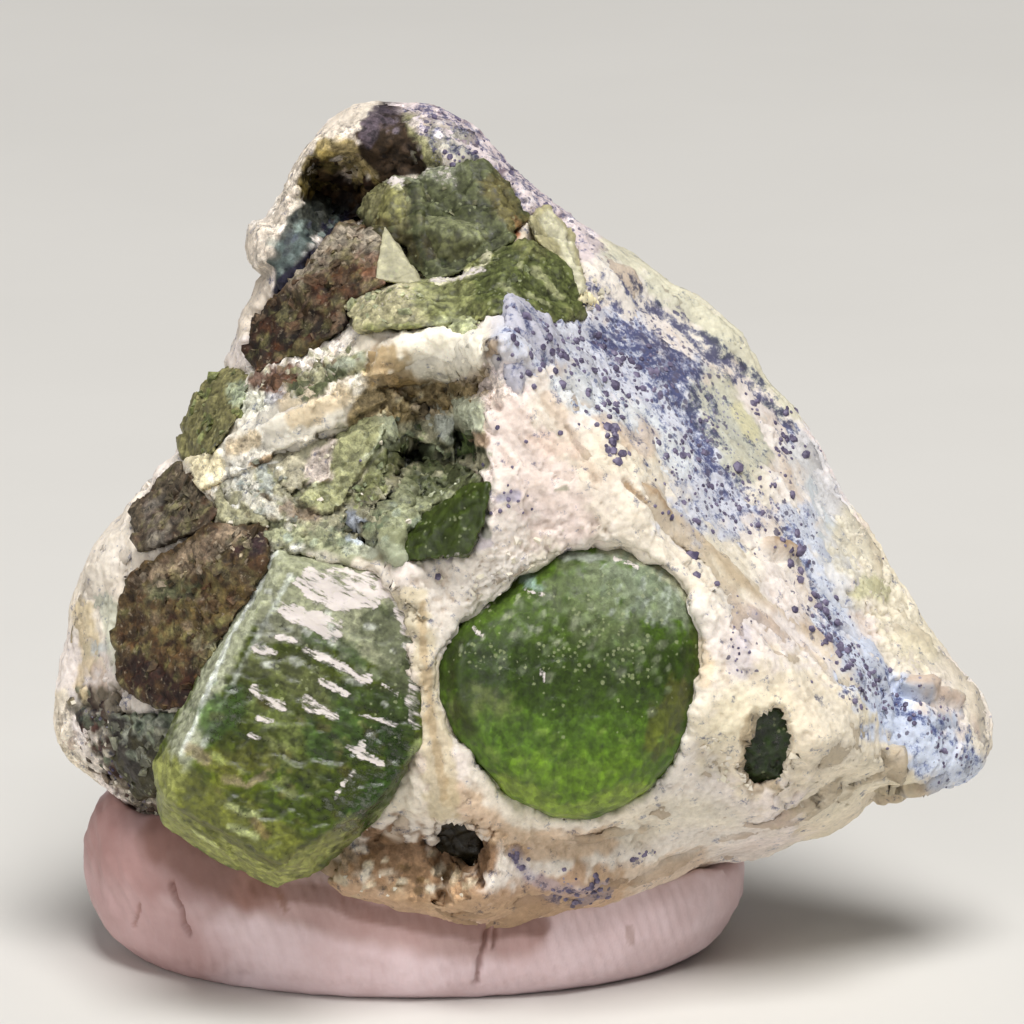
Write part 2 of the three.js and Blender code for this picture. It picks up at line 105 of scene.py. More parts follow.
# %% Camera
CAMERA_DISTANCE = 0.4
PHOTO_WIDTH = 1024
SENSOR = 36

camera_data = bpy.data.cameras.new("camera")
camera = bpy.data.objects.new("camera", camera_data)
bpy.context.scene.collection.objects.link(camera)
bpy.context.scene.camera = camera
middle_x, middle_z = on_face(PHOTO_WIDTH / 2, PHOTO_WIDTH / 2)
target = face_to_world @ Vector((middle_x, 0, middle_z))
back = Vector((0, -math.cos(LEAN), math.sin(LEAN)))
camera.location = target + back * CAMERA_DISTANCE
camera.rotation_mode = "QUATERNION"
camera.rotation_quaternion = (-back).to_track_quat("-Z", "Y")
camera_data.sensor_width = SENSOR
camera_data.lens = SENSOR * CAMERA_DISTANCE / (PHOTO_WIDTH / PIXELS_PER_MM * MM)
camera_data.clip_start = 0.01
print("lens", round(camera_data.lens), "mm")


# %% Lamps and sky
def lamp(name, place, size, energy, colour):
    """A soft square lamp that faces the specimen."""
    data = bpy.data.lights.new(name, "AREA")
    data.size = size
    data.energy = energy
    data.color = colour
    made = bpy.data.objects.new(name, data)
    bpy.context.scene.collection.objects.link(made)
    made.location = place
    aim = Vector((0, 0, 0.018)) - made.location
    made.rotation_mode = "QUATERNION"
    made.rotation_quaternion = aim.to_track_quat("-Z", "Y")


lamp("key_lamp", (0.1, -0.34, 0.84), 0.45, 9.8, (1.0, 0.99, 0.97))
lamp("side_lamp", (-0.6, -0.7, 0.4), 0.5, 2.6, (1.0, 0.98, 0.97))

world = bpy.data.worlds.new("studio")
bpy.context.scene.world = world
world.use_nodes = True
world.node_tree.nodes["Background"].inputs["Color"].default_value = (0.91, 0.89, 0.87, 1)
world.node_tree.nodes["Background"].inputs["Strength"].default_value = 0.15
bpy.context.scene.view_settings.view_transform = "Standard"


# %% [markdown]
# ## Materials
# Every material here reads Object coordinates turned to millimetres, so that a grain of 0.2 mm is 0.2 mm
# on every piece. Where a colour belongs to a place, such as a stain, it is painted on the mesh as an
# attribute, and the material reads it and breaks it up with finer noise.

# %% Colour and node helpers
def linear(code):
    """An sRGB hex colour as the linear values that Blender works in."""
    parts = [int(code[i : i + 2], 16) / 255 for i in (1, 3, 5)]
    return tuple(c / 12.92 if c <= 0.04045 else ((c + 0.055) / 1.055) ** 2.4 for c in parts) + (1.0,)


def add(tree, kind, settings=None, links=None):
    """Adds a node: settings are its own properties or the values of its inputs, links feed its inputs."""
    node = tree.nodes.new(kind)
    for key, value in (settings or {}).items():
        if isinstance(key, str) and hasattr(node, key):
            setattr(node, key, value)
        else:
            node.inputs[key].default_value = value
    for key, source in (links or {}).items():
        tree.links.new(source, node.inputs[key])
    return node


def new_material(name):
    """A material with its shader, and object coordinates in millimetres."""
    material = bpy.data.materials.new(name)
    material.use_nodes = True
    tree = material.node_tree
    place = add(tree, "ShaderNodeTexCoord")
    settings = {"Scale": (1000, 1000, 1000)}
    in_mm = add(tree, "ShaderNodeMapping", settings, {"Vector": place.outputs["Object"]})
    return material, tree, tree.nodes["Principled BSDF"], in_mm.outputs[0]


MIX_A, MIX_B, MIX_RESULT = 6, 7, 2


def mixed(tree, share, first, second, blend="MIX"):
    """Two colours mixed by a share. Each is a socket, a colour or a number."""
    settings, links = {"data_type": "RGBA", "blend_type": blend}, {}
    for key, value in ((0, share), (MIX_A, first), (MIX_B, second)):
        (links if isinstance(value, bpy.types.NodeSocket) else settings)[key] = value
    return add(tree, "ShaderNodeMix", settings, links).outputs[MIX_RESULT]


def ranged(tree, value, low, high, to_low=0.0, to_high=1.0):
    """A value stretched from one range to another, and held inside it."""
    settings = {"From Min": low, "From Max": high, "To Min": to_low, "To Max": to_high}
    return add(tree, "ShaderNodeMapRange", settings, {"Value": value}).outputs[0]


def grainy(tree, in_mm, size, detail=4.0, roughness=0.6):
    """Noise whose blotches are about size millimetres apart."""
    settings = {"Scale": 1 / size, "Detail": detail, "Roughness": roughness}
    return add(tree, "ShaderNodeTexNoise", settings, {"Vector": in_mm}).outputs["Fac"]


def painted(tree, name):
    """What is painted on the mesh under that name."""
    return add(tree, "ShaderNodeAttribute", {"attribute_name": name})


def specks(tree, in_mm, size, density):
    """Round specks, about size millimetres apart. Density, 0 to 1, is the share of them that are there."""
    wobble = add(tree, "ShaderNodeTexNoise", {"Scale": 2.5 / size, "Detail": 1.0}, {"Vector": in_mm})
    settings = {"operation": "SCALE", "Scale": 0.35 * size}
    moved = add(tree, "ShaderNodeVectorMath", settings, {0: wobble.outputs["Color"]})
    place = add(tree, "ShaderNodeVectorMath", {"operation": "ADD"}, {0: in_mm, 1: moved.outputs[0]})
    cells = add(tree, "ShaderNodeTexVoronoi", {"Scale": 1 / size}, {"Vector": place.outputs[0]})
    draws = add(tree, "ShaderNodeSeparateColor", {}, {"Color": cells.outputs["Color"]}).outputs
    reach = ranged(tree, draws[1], 0, 1, 0.2, 0.5)
    links = {0: reach, 1: cells.outputs["Distance"]}
    inside = add(tree, "ShaderNodeMath", {"operation": "SUBTRACT"}, links)
    disc = ranged(tree, inside.outputs[0], 0.0, 0.08)
    there = add(tree, "ShaderNodeMath", {"operation": "LESS_THAN"}, {0: draws[0], 1: density}).outputs[0]
    return add(tree, "ShaderNodeMath", {"operation": "MULTIPLY"}, {0: disc, 1: there}).outputs[0]


def cellular(tree, in_mm, size, low, high):
    """A brightness for each of many angular cells, about size millimetres across."""
    cells = add(tree, "ShaderNodeTexVoronoi", {"Scale": 1 / size}, {"Vector": in_mm})
    draws = add(tree, "ShaderNodeSeparateColor", {}, {"Color": cells.outputs["Color"]}).outputs
    return ranged(tree, draws[0], 0, 1, low, high)


def streaked(tree, in_mm, size, turn, stretch):
    """Noise drawn out stretch times along a line at turn degrees from level, across the face."""
    settings = {"vector_type": "TEXTURE", "Rotation": (0, -math.radians(turn), 0), "Scale": (stretch, 1, 1)}
    drawn = add(tree, "ShaderNodeMapping", settings, {"Vector": in_mm})
    return grainy(tree, drawn.outputs[0], size, 4.0, 0.6)


print("helpers ready")

# %% [markdown]
# ### Magnesite
# Fine-grained magnesite looks like unglazed porcelain or stiff chalk: matt, with light that goes a little
# way in. Its stains are soft, and its blue-black grains are sharp, so the grains come from round specks
# and the stains from the painted colour.

# %% Magnesite material
magnesite, tree, shader, in_mm = new_material("chalky_magnesite")
pigment = painted(tree, "pigment").outputs["Color"]
blotch = ranged(tree, grainy(tree, in_mm, 1.4), 0.3, 0.7, 0.86, 1.08)
powder = ranged(tree, grainy(tree, in_mm, 0.22, 5.0, 0.7), 0.3, 0.7, 0.84, 1.1)
shade = add(tree, "ShaderNodeMath", {"operation": "MULTIPLY"}, {0: blotch, 1: powder}).outputs[0]
body = mixed(tree, 1.0, pigment, shade, "MULTIPLY")
rough = ranged(tree, grainy(tree, in_mm, 0.3, 6.0, 0.8), 0.3, 0.7, 0.1, 1.9)
rough = mixed(tree, 1.0, body, rough, "MULTIPLY")
rough = mixed(tree, 1.0, rough, cellular(tree, in_mm, 0.3, 0.65, 1.4), "MULTIPLY")
body = mixed(tree, painted(tree, "mottled").outputs["Fac"], body, rough)
cluster = ranged(tree, grainy(tree, in_mm, 0.55, 6.0, 0.75), 0.25, 0.75, -1.0, 1.0)
links = {0: painted(tree, "slate").outputs["Fac"], 1: cluster}
slate = add(tree, "ShaderNodeMath", {"operation": "ADD"}, links).outputs[0]
body = mixed(tree, ranged(tree, slate, 0.3, 0.6), body, linear("#B0B6CC"), "MULTIPLY")
body = mixed(tree, ranged(tree, slate, 0.6, 0.85), body, linear("#999AB6"), "MULTIPLY")
density = painted(tree, "pepper").outputs["Fac"]
pepper = specks(tree, in_mm, 0.3, density)
fine_pepper = specks(tree, in_mm, 0.16, density)
body = mixed(tree, ranged(tree, fine_pepper, 0, 1, 0, 0.8), body, linear("#8A889C"))
body = mixed(tree, ranged(tree, pepper, 0, 1, 0, 0.85), body, linear("#5A566C"))
tree.links.new(body, shader.inputs["Base Color"])
wax = painted(tree, "wax").outputs["Fac"]
tree.links.new(ranged(tree, wax, 0, 1, 0.72, 0.32), shader.inputs["Roughness"])
shader.inputs["Specular IOR Level"].default_value = 0.25
shader.inputs["Subsurface Weight"].default_value = 0.2
shader.inputs["Subsurface Radius"].default_value = (1.0, 0.85, 0.65)
shader.inputs["Subsurface Scale"].default_value = 0.0005
grit = grainy(tree, in_mm, 0.3, 6.0, 0.65)
bump = add(tree, "ShaderNodeBump", {"Strength": 0.5, "Distance": 0.00012}, {"Height": grit})
tree.links.new(bump.outputs[0], shader.inputs["Normal"])

# %% [markdown]
# ### Peridot
# Peridot is a clear green silicate with an index of about 1.66. Clear crystal is see-through: light goes
# in, is coloured by what it crosses, and comes back from the cream stone behind. So its green is an
# absorption inside, and not a paint. Where the surface is etched or chalk still sticks to it, the painted
# veil makes it milky and the painted crust makes it white; part of that white crust is painted glints of
# reflected light.


# %% Peridot materials
def torn(tree, share, lift, low, high):
    """A painted share broken up by noise, so that half a share covers about half of the surface."""
    reach = add(tree, "ShaderNodeMath", {"operation": "ADD"}, {0: share, 1: lift}).outputs[0]
    return ranged(tree, reach, low, high)


def peridot_material(name, tint, density, polish, turn, stretch, raggedness, contrast):
    """Green crystal with a painted veil, and white chalk and painted glints over it, which break up along
    streaks at turn degrees.
    """
    material, tree, shader, in_mm = new_material(name)
    pigment = painted(tree, "pigment").outputs["Color"]
    streaks = streaked(tree, in_mm, 0.3, turn, stretch)
    cloud = grainy(tree, in_mm, 0.3, 6.0, 0.75)
    grain = mixed(tree, 0.5, streaks, cloud)
    lift = ranged(tree, grain, 0.3, 0.7, -raggedness, raggedness)
    veil = torn(tree, painted(tree, "veil").outputs["Fac"], lift, 0.0, 1.0)
    flakes = mixed(tree, 0.5, streaks, streaked(tree, in_mm, 0.12, turn, 2 * stretch))
    # The crust is white chalk stuck to the crystal and also painted glints of reflected light.
    links = {0: painted(tree, "crust").outputs["Fac"], 1: ranged(tree, flakes, 0.32, 0.68, 0.1, 1.9)}
    torn_crust_and_glint = add(tree, "ShaderNodeMath", {"operation": "MULTIPLY"}, links).outputs[0]
    crust = ranged(tree, torn_crust_and_glint, 0.55, 1.0)
    dots = specks(tree, in_mm, 0.2, painted(tree, "specks").outputs["Fac"])
    cover = add(tree, "ShaderNodeMath", {"operation": "MAXIMUM"}, {0: veil, 1: crust}).outputs[0]
    cover = add(tree, "ShaderNodeMath", {"operation": "MAXIMUM"}, {0: cover, 1: dots}).outputs[0]
    mottle = ranged(tree, cloud, 0.3, 0.7, 1 - contrast, 1 + contrast)
    skin = mixed(tree, 1.0, pigment, mottle, "MULTIPLY")
    cells = cellular(tree, in_mm, 0.3, 1 - 0.5 * contrast, 1 + 0.5 * contrast)
    skin = mixed(tree, 1.0, skin, cells, "MULTIPLY")
    skin = mixed(tree, ranged(tree, dots, 0, 1, 0, 0.4), skin, linear("#A9AE8A"))
    skin = mixed(tree, ranged(tree, crust, 0, 1, 0, 0.92), skin, linear("#DFD6D2"))
    tinted = ranged(tree, cover, 0.0, 0.3)
    tree.links.new(mixed(tree, tinted, linear("#F4FAE6"), skin), shader.inputs["Base Color"])
    tree.links.new(ranged(tree, cover, 0, 1, 1.0, 0.0), shader.inputs["Transmission Weight"])
    tree.links.new(ranged(tree, cover, 0, 1, polish, 0.5), shader.inputs["Roughness"])
    shader.inputs["IOR"].default_value = 1.66
    shader.inputs["Specular IOR Level"].default_value = 0.1
    shader.inputs["Subsurface Weight"].default_value = 0.25
    shader.inputs["Subsurface Radius"].default_value = (0.9, 1.0, 0.6)
    shader.inputs["Subsurface Scale"].default_value = 0.0005
    height = add(tree, "ShaderNodeMath", {"operation": "ADD"}, {0: grain, 1: crust})
    bump = add(tree, "ShaderNodeBump", {"Strength": 0.5, "Distance": 0.0001}, {"Height": height.outputs[0]})
    tree.links.new(bump.outputs[0], shader.inputs["Normal"])
    depths = add(tree, "ShaderNodeVolumeAbsorption", {"Color": linear(tint), "Density": density})
    tree.links.new(depths.outputs[0], tree.nodes["Material Output"].inputs["Volume"])
    return material


striated_peridot = peridot_material("striated_peridot", "#B8C43A", 110, 0.14, -28, 4.0, 0.4, 0.5)
rounded_peridot = peridot_material("rounded_peridot", "#B6CC3C", 120, 0.16, 85, 2.0, 0.3, 0.45)
frosted_peridot = peridot_material("frosted_peridot", "#CCCA5C", 330, 0.28, -30, 1.5, 0.5, 0.65)
pale_peridot = peridot_material("pale_peridot", "#F0EDB0", 260, 0.25, 60, 2.0, 0.3, 0.25)
dark_peridot = peridot_material("dark_peridot", "#7FA646", 1500, 0.12, 0, 1.0, 0.4, 0.5)

# %% [markdown]
# ### Weathered peridot
# Where water has been at it, peridot turns to rusty, crumbly crusts. It is no longer clear, so it is an
# opaque stone with patches of rust, olive and grey, and a rough surface.

# %% Weathered peridot material
weathered_peridot, tree, shader, in_mm = new_material("weathered_peridot")
pigment = painted(tree, "pigment").outputs["Color"]
rust = ranged(tree, grainy(tree, in_mm, 1.1, 5.0), 0.48, 0.66, 0.0, 0.55)
olive = ranged(tree, grainy(tree, in_mm, 0.8, 4.0), 0.52, 0.66, 0.0, 0.5)
crumbs = ranged(tree, grainy(tree, in_mm, 0.25, 5.0, 0.75), 0.3, 0.7, 0.15, 1.7)
body = mixed(tree, rust, pigment, linear("#4A2A18"))
body = mixed(tree, olive, body, linear("#7E7A50"))
body = mixed(tree, 1.0, body, crumbs, "MULTIPLY")
body = mixed(tree, 1.0, body, cellular(tree, in_mm, 0.32, 0.6, 1.45), "MULTIPLY")
fleck = ranged(tree, grainy(tree, in_mm, 0.28, 4.0), 0.6, 0.7)
links = {0: fleck, 1: painted(tree, "specks").outputs["Fac"]}
pale = add(tree, "ShaderNodeMath", {"operation": "MULTIPLY"}, links).outputs[0]
body = mixed(tree, pale, body, linear("#A0917A"))
tree.links.new(body, shader.inputs["Base Color"])
shader.inputs["Roughness"].default_value = 0.55
shader.inputs["Specular IOR Level"].default_value = 0.35
grit = grainy(tree, in_mm, 0.25, 6.0, 0.7)
bump = add(tree, "ShaderNodeBump", {"Strength": 0.7, "Distance": 0.00015}, {"Height": grit})
tree.links.new(bump.outputs[0], shader.inputs["Normal"])

# %% [markdown]
# ### Putty, dark grains and the floor
# The putty is the soft rubbery kind that holds specimens up: matt, pinkish white, with the fine ridges of
# the finger that pressed it. The dark grains are chromite or magnetite, nearly black with a purple cast.

# %% Putty, grain, crumb and floor materials
putty, tree, shader, in_mm = new_material("mounting_putty")
cast = ranged(tree, grainy(tree, in_mm, 2.5), 0.35, 0.65)
body = mixed(tree, cast, linear("#D8BEC0"), linear("#E8D2D6"))
body = mixed(tree, 1.0, body, painted(tree, "pigment").outputs["Color"], "MULTIPLY")
tree.links.new(body, shader.inputs["Base Color"])
shader.inputs["Roughness"].default_value = 0.6
shader.inputs["Subsurface Weight"].default_value = 0.15
shader.inputs["Subsurface Radius"].default_value = (1.0, 0.8, 0.7)
shader.inputs["Subsurface Scale"].default_value = 0.0006
grit = grainy(tree, in_mm, 0.35, 5.0)
bump = add(tree, "ShaderNodeBump", {"Strength": 0.25, "Distance": 0.0001}, {"Height": grit})
tree.links.new(bump.outputs[0], shader.inputs["Normal"])


def plain_stone(name, first, second, size, roughness):
    """A stone of two mingled colours, for grains and crumbs too small to show more."""
    material, tree, shader, in_mm = new_material(name)
    share = ranged(tree, grainy(tree, in_mm, size), 0.4, 0.6)
    tree.links.new(mixed(tree, share, linear(first), linear(second)), shader.inputs["Base Color"])
    shader.inputs["Roughness"].default_value = roughness
    return material


dark_grain = plain_stone("dark_grain", "#47405A", "#78708A", 0.5, 0.5)
white_crumb = plain_stone("white_crumb", "#E3DBCF", "#D6CFBA", 0.5, 0.6)
floor_paint = plain_stone("pale_floor", "#DAD8D4", "#D8D6D2", 40, 0.6)


# %% [markdown]
# ## From CAD solid to real surface
# A CAD node's mesh is loose triangles, so a copy of it is merged first. A voxel remesh then lays an even
# grid over it, fine enough to push about, and a Smooth modifier takes the facets out of it. After
# that each piece is sculpted in code: every vertex moves along its normal by an amount worked out from
# noise and from strokes drawn on the face.

# %% Mesh helpers
def get(obj, what):
    """The vertices' co or normal as an array."""
    values = np.empty(len(obj.data.vertices) * 3)
    obj.data.vertices.foreach_get(what, values)
    return values.reshape(-1, 3)


def bake_modifiers(obj):
    """Makes what the modifiers give the object's own mesh."""
    evaluated = obj.evaluated_get(bpy.context.evaluated_depsgraph_get())
    old, obj.data = obj.data, bpy.data.meshes.new_from_object(evaluated)
    obj.modifiers.clear()
    bpy.data.meshes.remove(old)


def even_grid(bm, name, voxel, smoothing):
    """Makes an object of a closed shape and lays an even grid over it. Sizes are in millimetres."""
    mesh = bpy.data.meshes.new(name)
    bm.to_mesh(mesh)
    bm.free()
    obj = bpy.data.objects.new(name, mesh)
    bpy.context.scene.collection.objects.link(obj)
    grid = obj.modifiers.new("grid", "REMESH")
    grid.mode = "VOXEL"
    grid.voxel_size = voxel * MM
    grid.use_smooth_shade = True
    smooth = obj.modifiers.new("smooth", "SMOOTH")
    smooth.iterations = smoothing
    bake_modifiers(obj)
    return obj


def from_cad(node, name, voxel, smoothing, swell=0.0):
    """A copy of a CAD node, merged, swollen and laid with an even grid."""
    bm = bmesh.new()
    bm.from_mesh(frame["nodes"][node].data)
    bmesh.ops.remove_doubles(bm, verts=bm.verts, dist=1e-7)
    bmesh.ops.dissolve_limit(bm, angle_limit=0.01, verts=bm.verts, edges=bm.edges)
    bm.normal_update()
    for vert in bm.verts:
        vert.co += vert.normal * swell * MM
    return even_grid(bm, name, voxel, smoothing)


def to_face(obj):
    """The vertices of a piece in the face frame, in millimetres."""
    points = get(obj, "co")
    matrix = np.array(world_to_face)
    return points @ matrix[:3, :3].T + matrix[:3, 3]


def push(obj, amount, ways=None):
    """Moves every vertex by its amount in millimetres, along its normal or a way of its own."""
    ways = get(obj, "normal") if ways is None else ways
    moved = get(obj, "co") + ways * amount[:, None] * MM
    obj.data.vertices.foreach_set("co", moved.ravel())
    obj.data.update()


def noise_at(points, size, shift=0.0, basis="PERLIN_ORIGINAL"):
    """Noise at each point, with blotches about size millimetres apart."""
    scaled = (points / size + shift).tolist()
    return np.array([noise.noise(point, noise_basis=basis) for point in scaled])


def smoothstep(values, low, high):
    """0 below low, 1 above high, and a smooth rise between them."""
    share = np.clip((values - low) / (high - low), 0, 1)
    return share * share * (3 - 2 * share)


def chips(points, size, shift=0.0):
    """Flat broken facets, each about size millimetres across and tilted its own way."""
    heights = []
    for point in (points / size + shift).tolist():
        cell = noise.voronoi(point)[1][0]
        heights.append(noise.cell_vector(cell * 7.3).dot(Vector(point) - cell))
    return np.array(heights)


def hollow_depth(obj, reach):
    """How far each vertex lies below the mean of its surroundings. Both lengths are in millimetres."""
    pairs = np.empty(len(obj.data.edges) * 2, dtype=np.int64)
    obj.data.edges.foreach_get("vertices", pairs)
    one, other = pairs.reshape(-1, 2).T
    place = get(obj, "co")
    count = np.bincount(one, minlength=len(place)) + np.bincount(other, minlength=len(place))
    spacing = np.median(np.linalg.norm(place[one] - place[other], axis=1)) / MM
    level = place.copy()
    for _ in range(max(1, round((1.4 * reach / spacing) ** 2))):
        total = np.stack([
            np.bincount(one, level[other, axis], len(place))
            + np.bincount(other, level[one, axis], len(place))
            for axis in range(3)
        ], axis=1)
        level = total / count[:, None]
    return ((level - place) * get(obj, "normal")).sum(axis=1) / MM


# %% [markdown]
# ### Strokes
# Stains, painted shade and highlights, dents and rough patches are all drawn the same way: as a stroke
# through places read off the photograph, with a radius in its pixels. Ragged noise breaks up its edge,
# because nothing in a stone has the clean edge of a brush.


# %% Stroke helpers
FILLED = 0


def stroke(points, line, radius, edge_noise, ragged=0.5):
    """How much a stroke covers each point, 0 to 1. With no radius, its line is a filled outline."""
    places = np.array([on_face(*pixel) for pixel in line])
    plan = points[:, [0, 2]]
    ends = np.roll(places, -1, axis=0) if radius == FILLED else places[1:] if len(places) > 1 else places
    nearest = np.full(len(points), np.inf)
    inside = np.zeros(len(points), dtype=bool)
    for start, end in zip(places, ends):
        along = end - start
        share = np.clip((plan - start) @ along / max(along @ along, 1e-9), 0, 1)
        nearest = np.minimum(nearest, np.linalg.norm(plan - start - share[:, None] * along, axis=1))
        crossed = (start[1] > plan[:, 1]) != (end[1] > plan[:, 1])
        slope = along[0] / (along[1] if along[1] else 1e-9)
        inside ^= crossed & (plan[:, 0] < start[0] + (plan[:, 1] - start[1]) * slope)
    if radius == FILLED:
        reach = np.where(inside, -nearest, nearest) * PIXELS_PER_MM / 6 + ragged * edge_noise
        return 1 - smoothstep(reach, -0.35, 0.35)
    reach = nearest * PIXELS_PER_MM / radius + ragged * edge_noise
    return 1 - smoothstep(reach, 0.6, 1.2)


def paint(obj, base, washes, points, edge_noise, front, hollow_shade=0.0):
    """Paints a piece: each wash is a colour, a strength, a radius, how ragged, and a line."""
    colour = np.tile(np.array(base, dtype=float), (len(points), 1)) if len(np.shape(base)) == 1 else base
    for code, strength, radius, ragged, line in washes:
        share = (strength * front * stroke(points, line, radius, edge_noise, ragged))[:, None]
        # Painted shade and light: each wash is darker in hollows and lighter on crests.
        colour = colour * (1 - share) + np.array(linear(code)) * (1 - 0.15 * hollow_shade) * share
    layer = obj.data.attributes.new("pigment", "FLOAT_COLOR", "POINT")
    layer.data.foreach_set("color", colour.ravel())
    return colour


def flecks(count, codes, radius, spread, line, turn=0, length=4):
    """Many short washes of one of some colours beside a line, drawn out at turn degrees from level."""
    picks = random.Random(str(line))
    made = []
    for _ in range(count):
        (x0, y0), (x1, y1) = picks.choice(list(zip(line, line[1:])))
        share = picks.random()
        angle = math.radians(picks.gauss(turn, 15))
        half = picks.uniform(0.2, 1) * length / 2
        x = x0 + share * (x1 - x0) + picks.gauss(0, spread)
        y = y0 + share * (y1 - y0) + picks.gauss(0, spread)
        dx, dy = half * math.cos(angle), -half * math.sin(angle)
        ends = [(x - dx, y - dy), (x + dx, y + dy)]
        code = picks.choice(codes)
        strength = picks.uniform(0.5, 0.95)
        made.append((code, strength, radius * picks.uniform(0.5, 1.3), 0.7, ends))
    return made


def mark(obj, name, values):
    """Keeps one number for each vertex, for the material to read."""
    layer = obj.data.attributes.new(name, "FLOAT", "POINT")
    layer.data.foreach_set("value", np.asarray(values, dtype=np.float32))


def covered(points, strokes, edge_noise, front):
    """The sum of strokes, each a height or density, a radius, how ragged, and a line."""
    total = np.zeros(len(points))
    for height, radius, ragged, line in strokes:
        total += height * front * stroke(points, line, radius, edge_noise, ragged)
    return total


def place_piece(obj, material, node):
    """Gives a finished piece its material and its body, and hides the CAD node that it stands for."""
    obj.data.materials.clear()
    obj.data.materials.append(material)
    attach(obj, "root")
    if node:
        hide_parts(node)
    print(obj.name, len(obj.data.polygons), "faces")


# %% [markdown]
# ## The lump of magnesite
# The lump is one piece with a pocket for every crystal. It needs a fine grid where the photograph shows it
# and a coarser one behind, so its front faces are subdivided once more after the remesh.

# %% Crystals as one tree, to ask what is in front of a place and how near it is
towards_viewer = (face_to_world.to_3x3() @ Vector((0, -1, 0))).normalized()
bm = bmesh.new()
for name, node in frame["nodes"].items():
    if name not in ("matrix", "putty_pad"):
        bm.from_mesh(node.data)
crystal_tree = BVHTree.FromBMesh(bm)
bm.free()


def behind_crystal(place):
    """Whether a crystal stands between a place and the viewer."""
    return crystal_tree.ray_cast(place + towards_viewer * 0.1 * MM, towards_viewer)[0] is not None


# %% Matrix grid
# Lengths are in millimetres. Facing is 1 for what looks squarely at the viewer, and 0 for what shows edge-on.
LUMP_VOXEL = 0.27
FACE_DEPTH = 0.9
FACE_BACK = 3
LEAST_FACING = 0.08
LEAST_SHARE = 0.02
FACES = {
    "magnesite_upper": [
        (150, [(290, 190), (400, 150), (480, 230)]),
        (150, [(230, 440), (330, 430), (440, 450)]),
    ],
    "magnesite_right": [(140, [(560, 330), (680, 390), (800, 530), (900, 690), (960, 740)])],
    "magnesite_lower": [
        (110, [(430, 620), (430, 830), (360, 880), (560, 880), (720, 780), (800, 760)]),
        (110, [(560, 490), (690, 590)]),
        (80, [(90, 560), (80, 660), (140, 780)]),
    ],
}


def seen_from_front(bm):
    """The vertices that the camera looks at, and that no crystal hides."""
    return {
        vert for vert in bm.verts
        if (world_to_face @ vert.co).y < FACE_BACK
        and vert.normal.dot(towards_viewer) > LEAST_FACING
        and not behind_crystal(vert.co)
    }


def face_shares(points, facing):
    """How far inside each finer face each point lies, 0 to 1, and how far inside any of them."""
    shares, left, any_face = {}, np.ones(len(points)), np.zeros(len(points))
    for name, strokes in FACES.items():
        share = np.clip(sum(stroke(points, line, radius, 0, 0) for radius, line in strokes), 0, 1)
        share *= smoothstep(facing, 0.15, 0.5) * smoothstep(-points[:, 1], -3.0, -1.5)
        shares[name] = share * left
        left = left * (1 - smoothstep(share, 0.35, 0.65))
        any_face = np.maximum(any_face, share)
    return shares, any_face


def front_share(points):
    """One where the photograph shows the specimen, nothing at its back."""
    return smoothstep(-points[:, 1], -4.0, -1.5)


def facing_viewer(obj):
    """How squarely each vertex faces the viewer, 1 for quite square."""
    return get(obj, "normal") @ np.array(towards_viewer)


lump = from_cad("matrix", "magnesite_lump", LUMP_VOXEL, 4)
print("lump grid", len(lump.data.vertices), "vertices")


# %% Finer faces
def finer_front(obj):
    """Halves the grid of a piece where the viewer sees it."""
    bm = bmesh.new()
    bm.from_mesh(obj.data)
    seen = seen_from_front(bm)
    front_edges = [edge for edge in bm.edges if edge.verts[0] in seen and edge.verts[1] in seen]
    bmesh.ops.subdivide_edges(bm, edges=front_edges, cuts=1, use_grid_fill=True)
    bmesh.ops.smooth_vert(bm, verts=bm.verts, factor=0.5, use_axis_x=True, use_axis_y=True, use_axis_z=True)
    bm.to_mesh(obj.data)
    bm.free()


def finer_face(name, voxel):
    """A thin closed shell over a part of the lump, with a finer grid on its outer side."""
    points, facing = to_face(lump), facing_viewer(lump)
    share = face_shares(points, facing)[0][name]
    bm = bmesh.new()
    bm.from_mesh(lump.data)
    seen = {vert.index for vert in seen_from_front(bm)}
    bm.verts.ensure_lookup_table()
    wanted = {index for index in seen if share[index] >= LEAST_SHARE}
    spare = [face for face in bm.faces if any(vert.index not in wanted for vert in face.verts)]
    bmesh.ops.delete(bm, geom=spare, context="FACES")
    sunk = bmesh.ops.extrude_face_region(bm, geom=bm.faces[:], use_keep_orig=True)["geom"]
    sunk = [part for part in sunk if isinstance(part, bmesh.types.BMVert)]
    bmesh.ops.translate(bm, vec=-towards_viewer * FACE_DEPTH * MM, verts=sunk)
    bmesh.ops.recalc_face_normals(bm, faces=bm.faces)
    obj = even_grid(bm, name, voxel, 2)
    finer_front(obj)
    print(name, len(obj.data.vertices), "vertices")
    return obj


FACE_VOXELS = {"magnesite_upper": 0.18, "magnesite_right": 0.2, "magnesite_lower": 0.2}
faces = {name: finer_face(name, voxel) for name, voxel in FACE_VOXELS.items()}

# %% [markdown]
# The rough patches are where crystals were torn out or the chalk crumbles. The knee at the lower right and
# the lobe at the left are worn smooth.

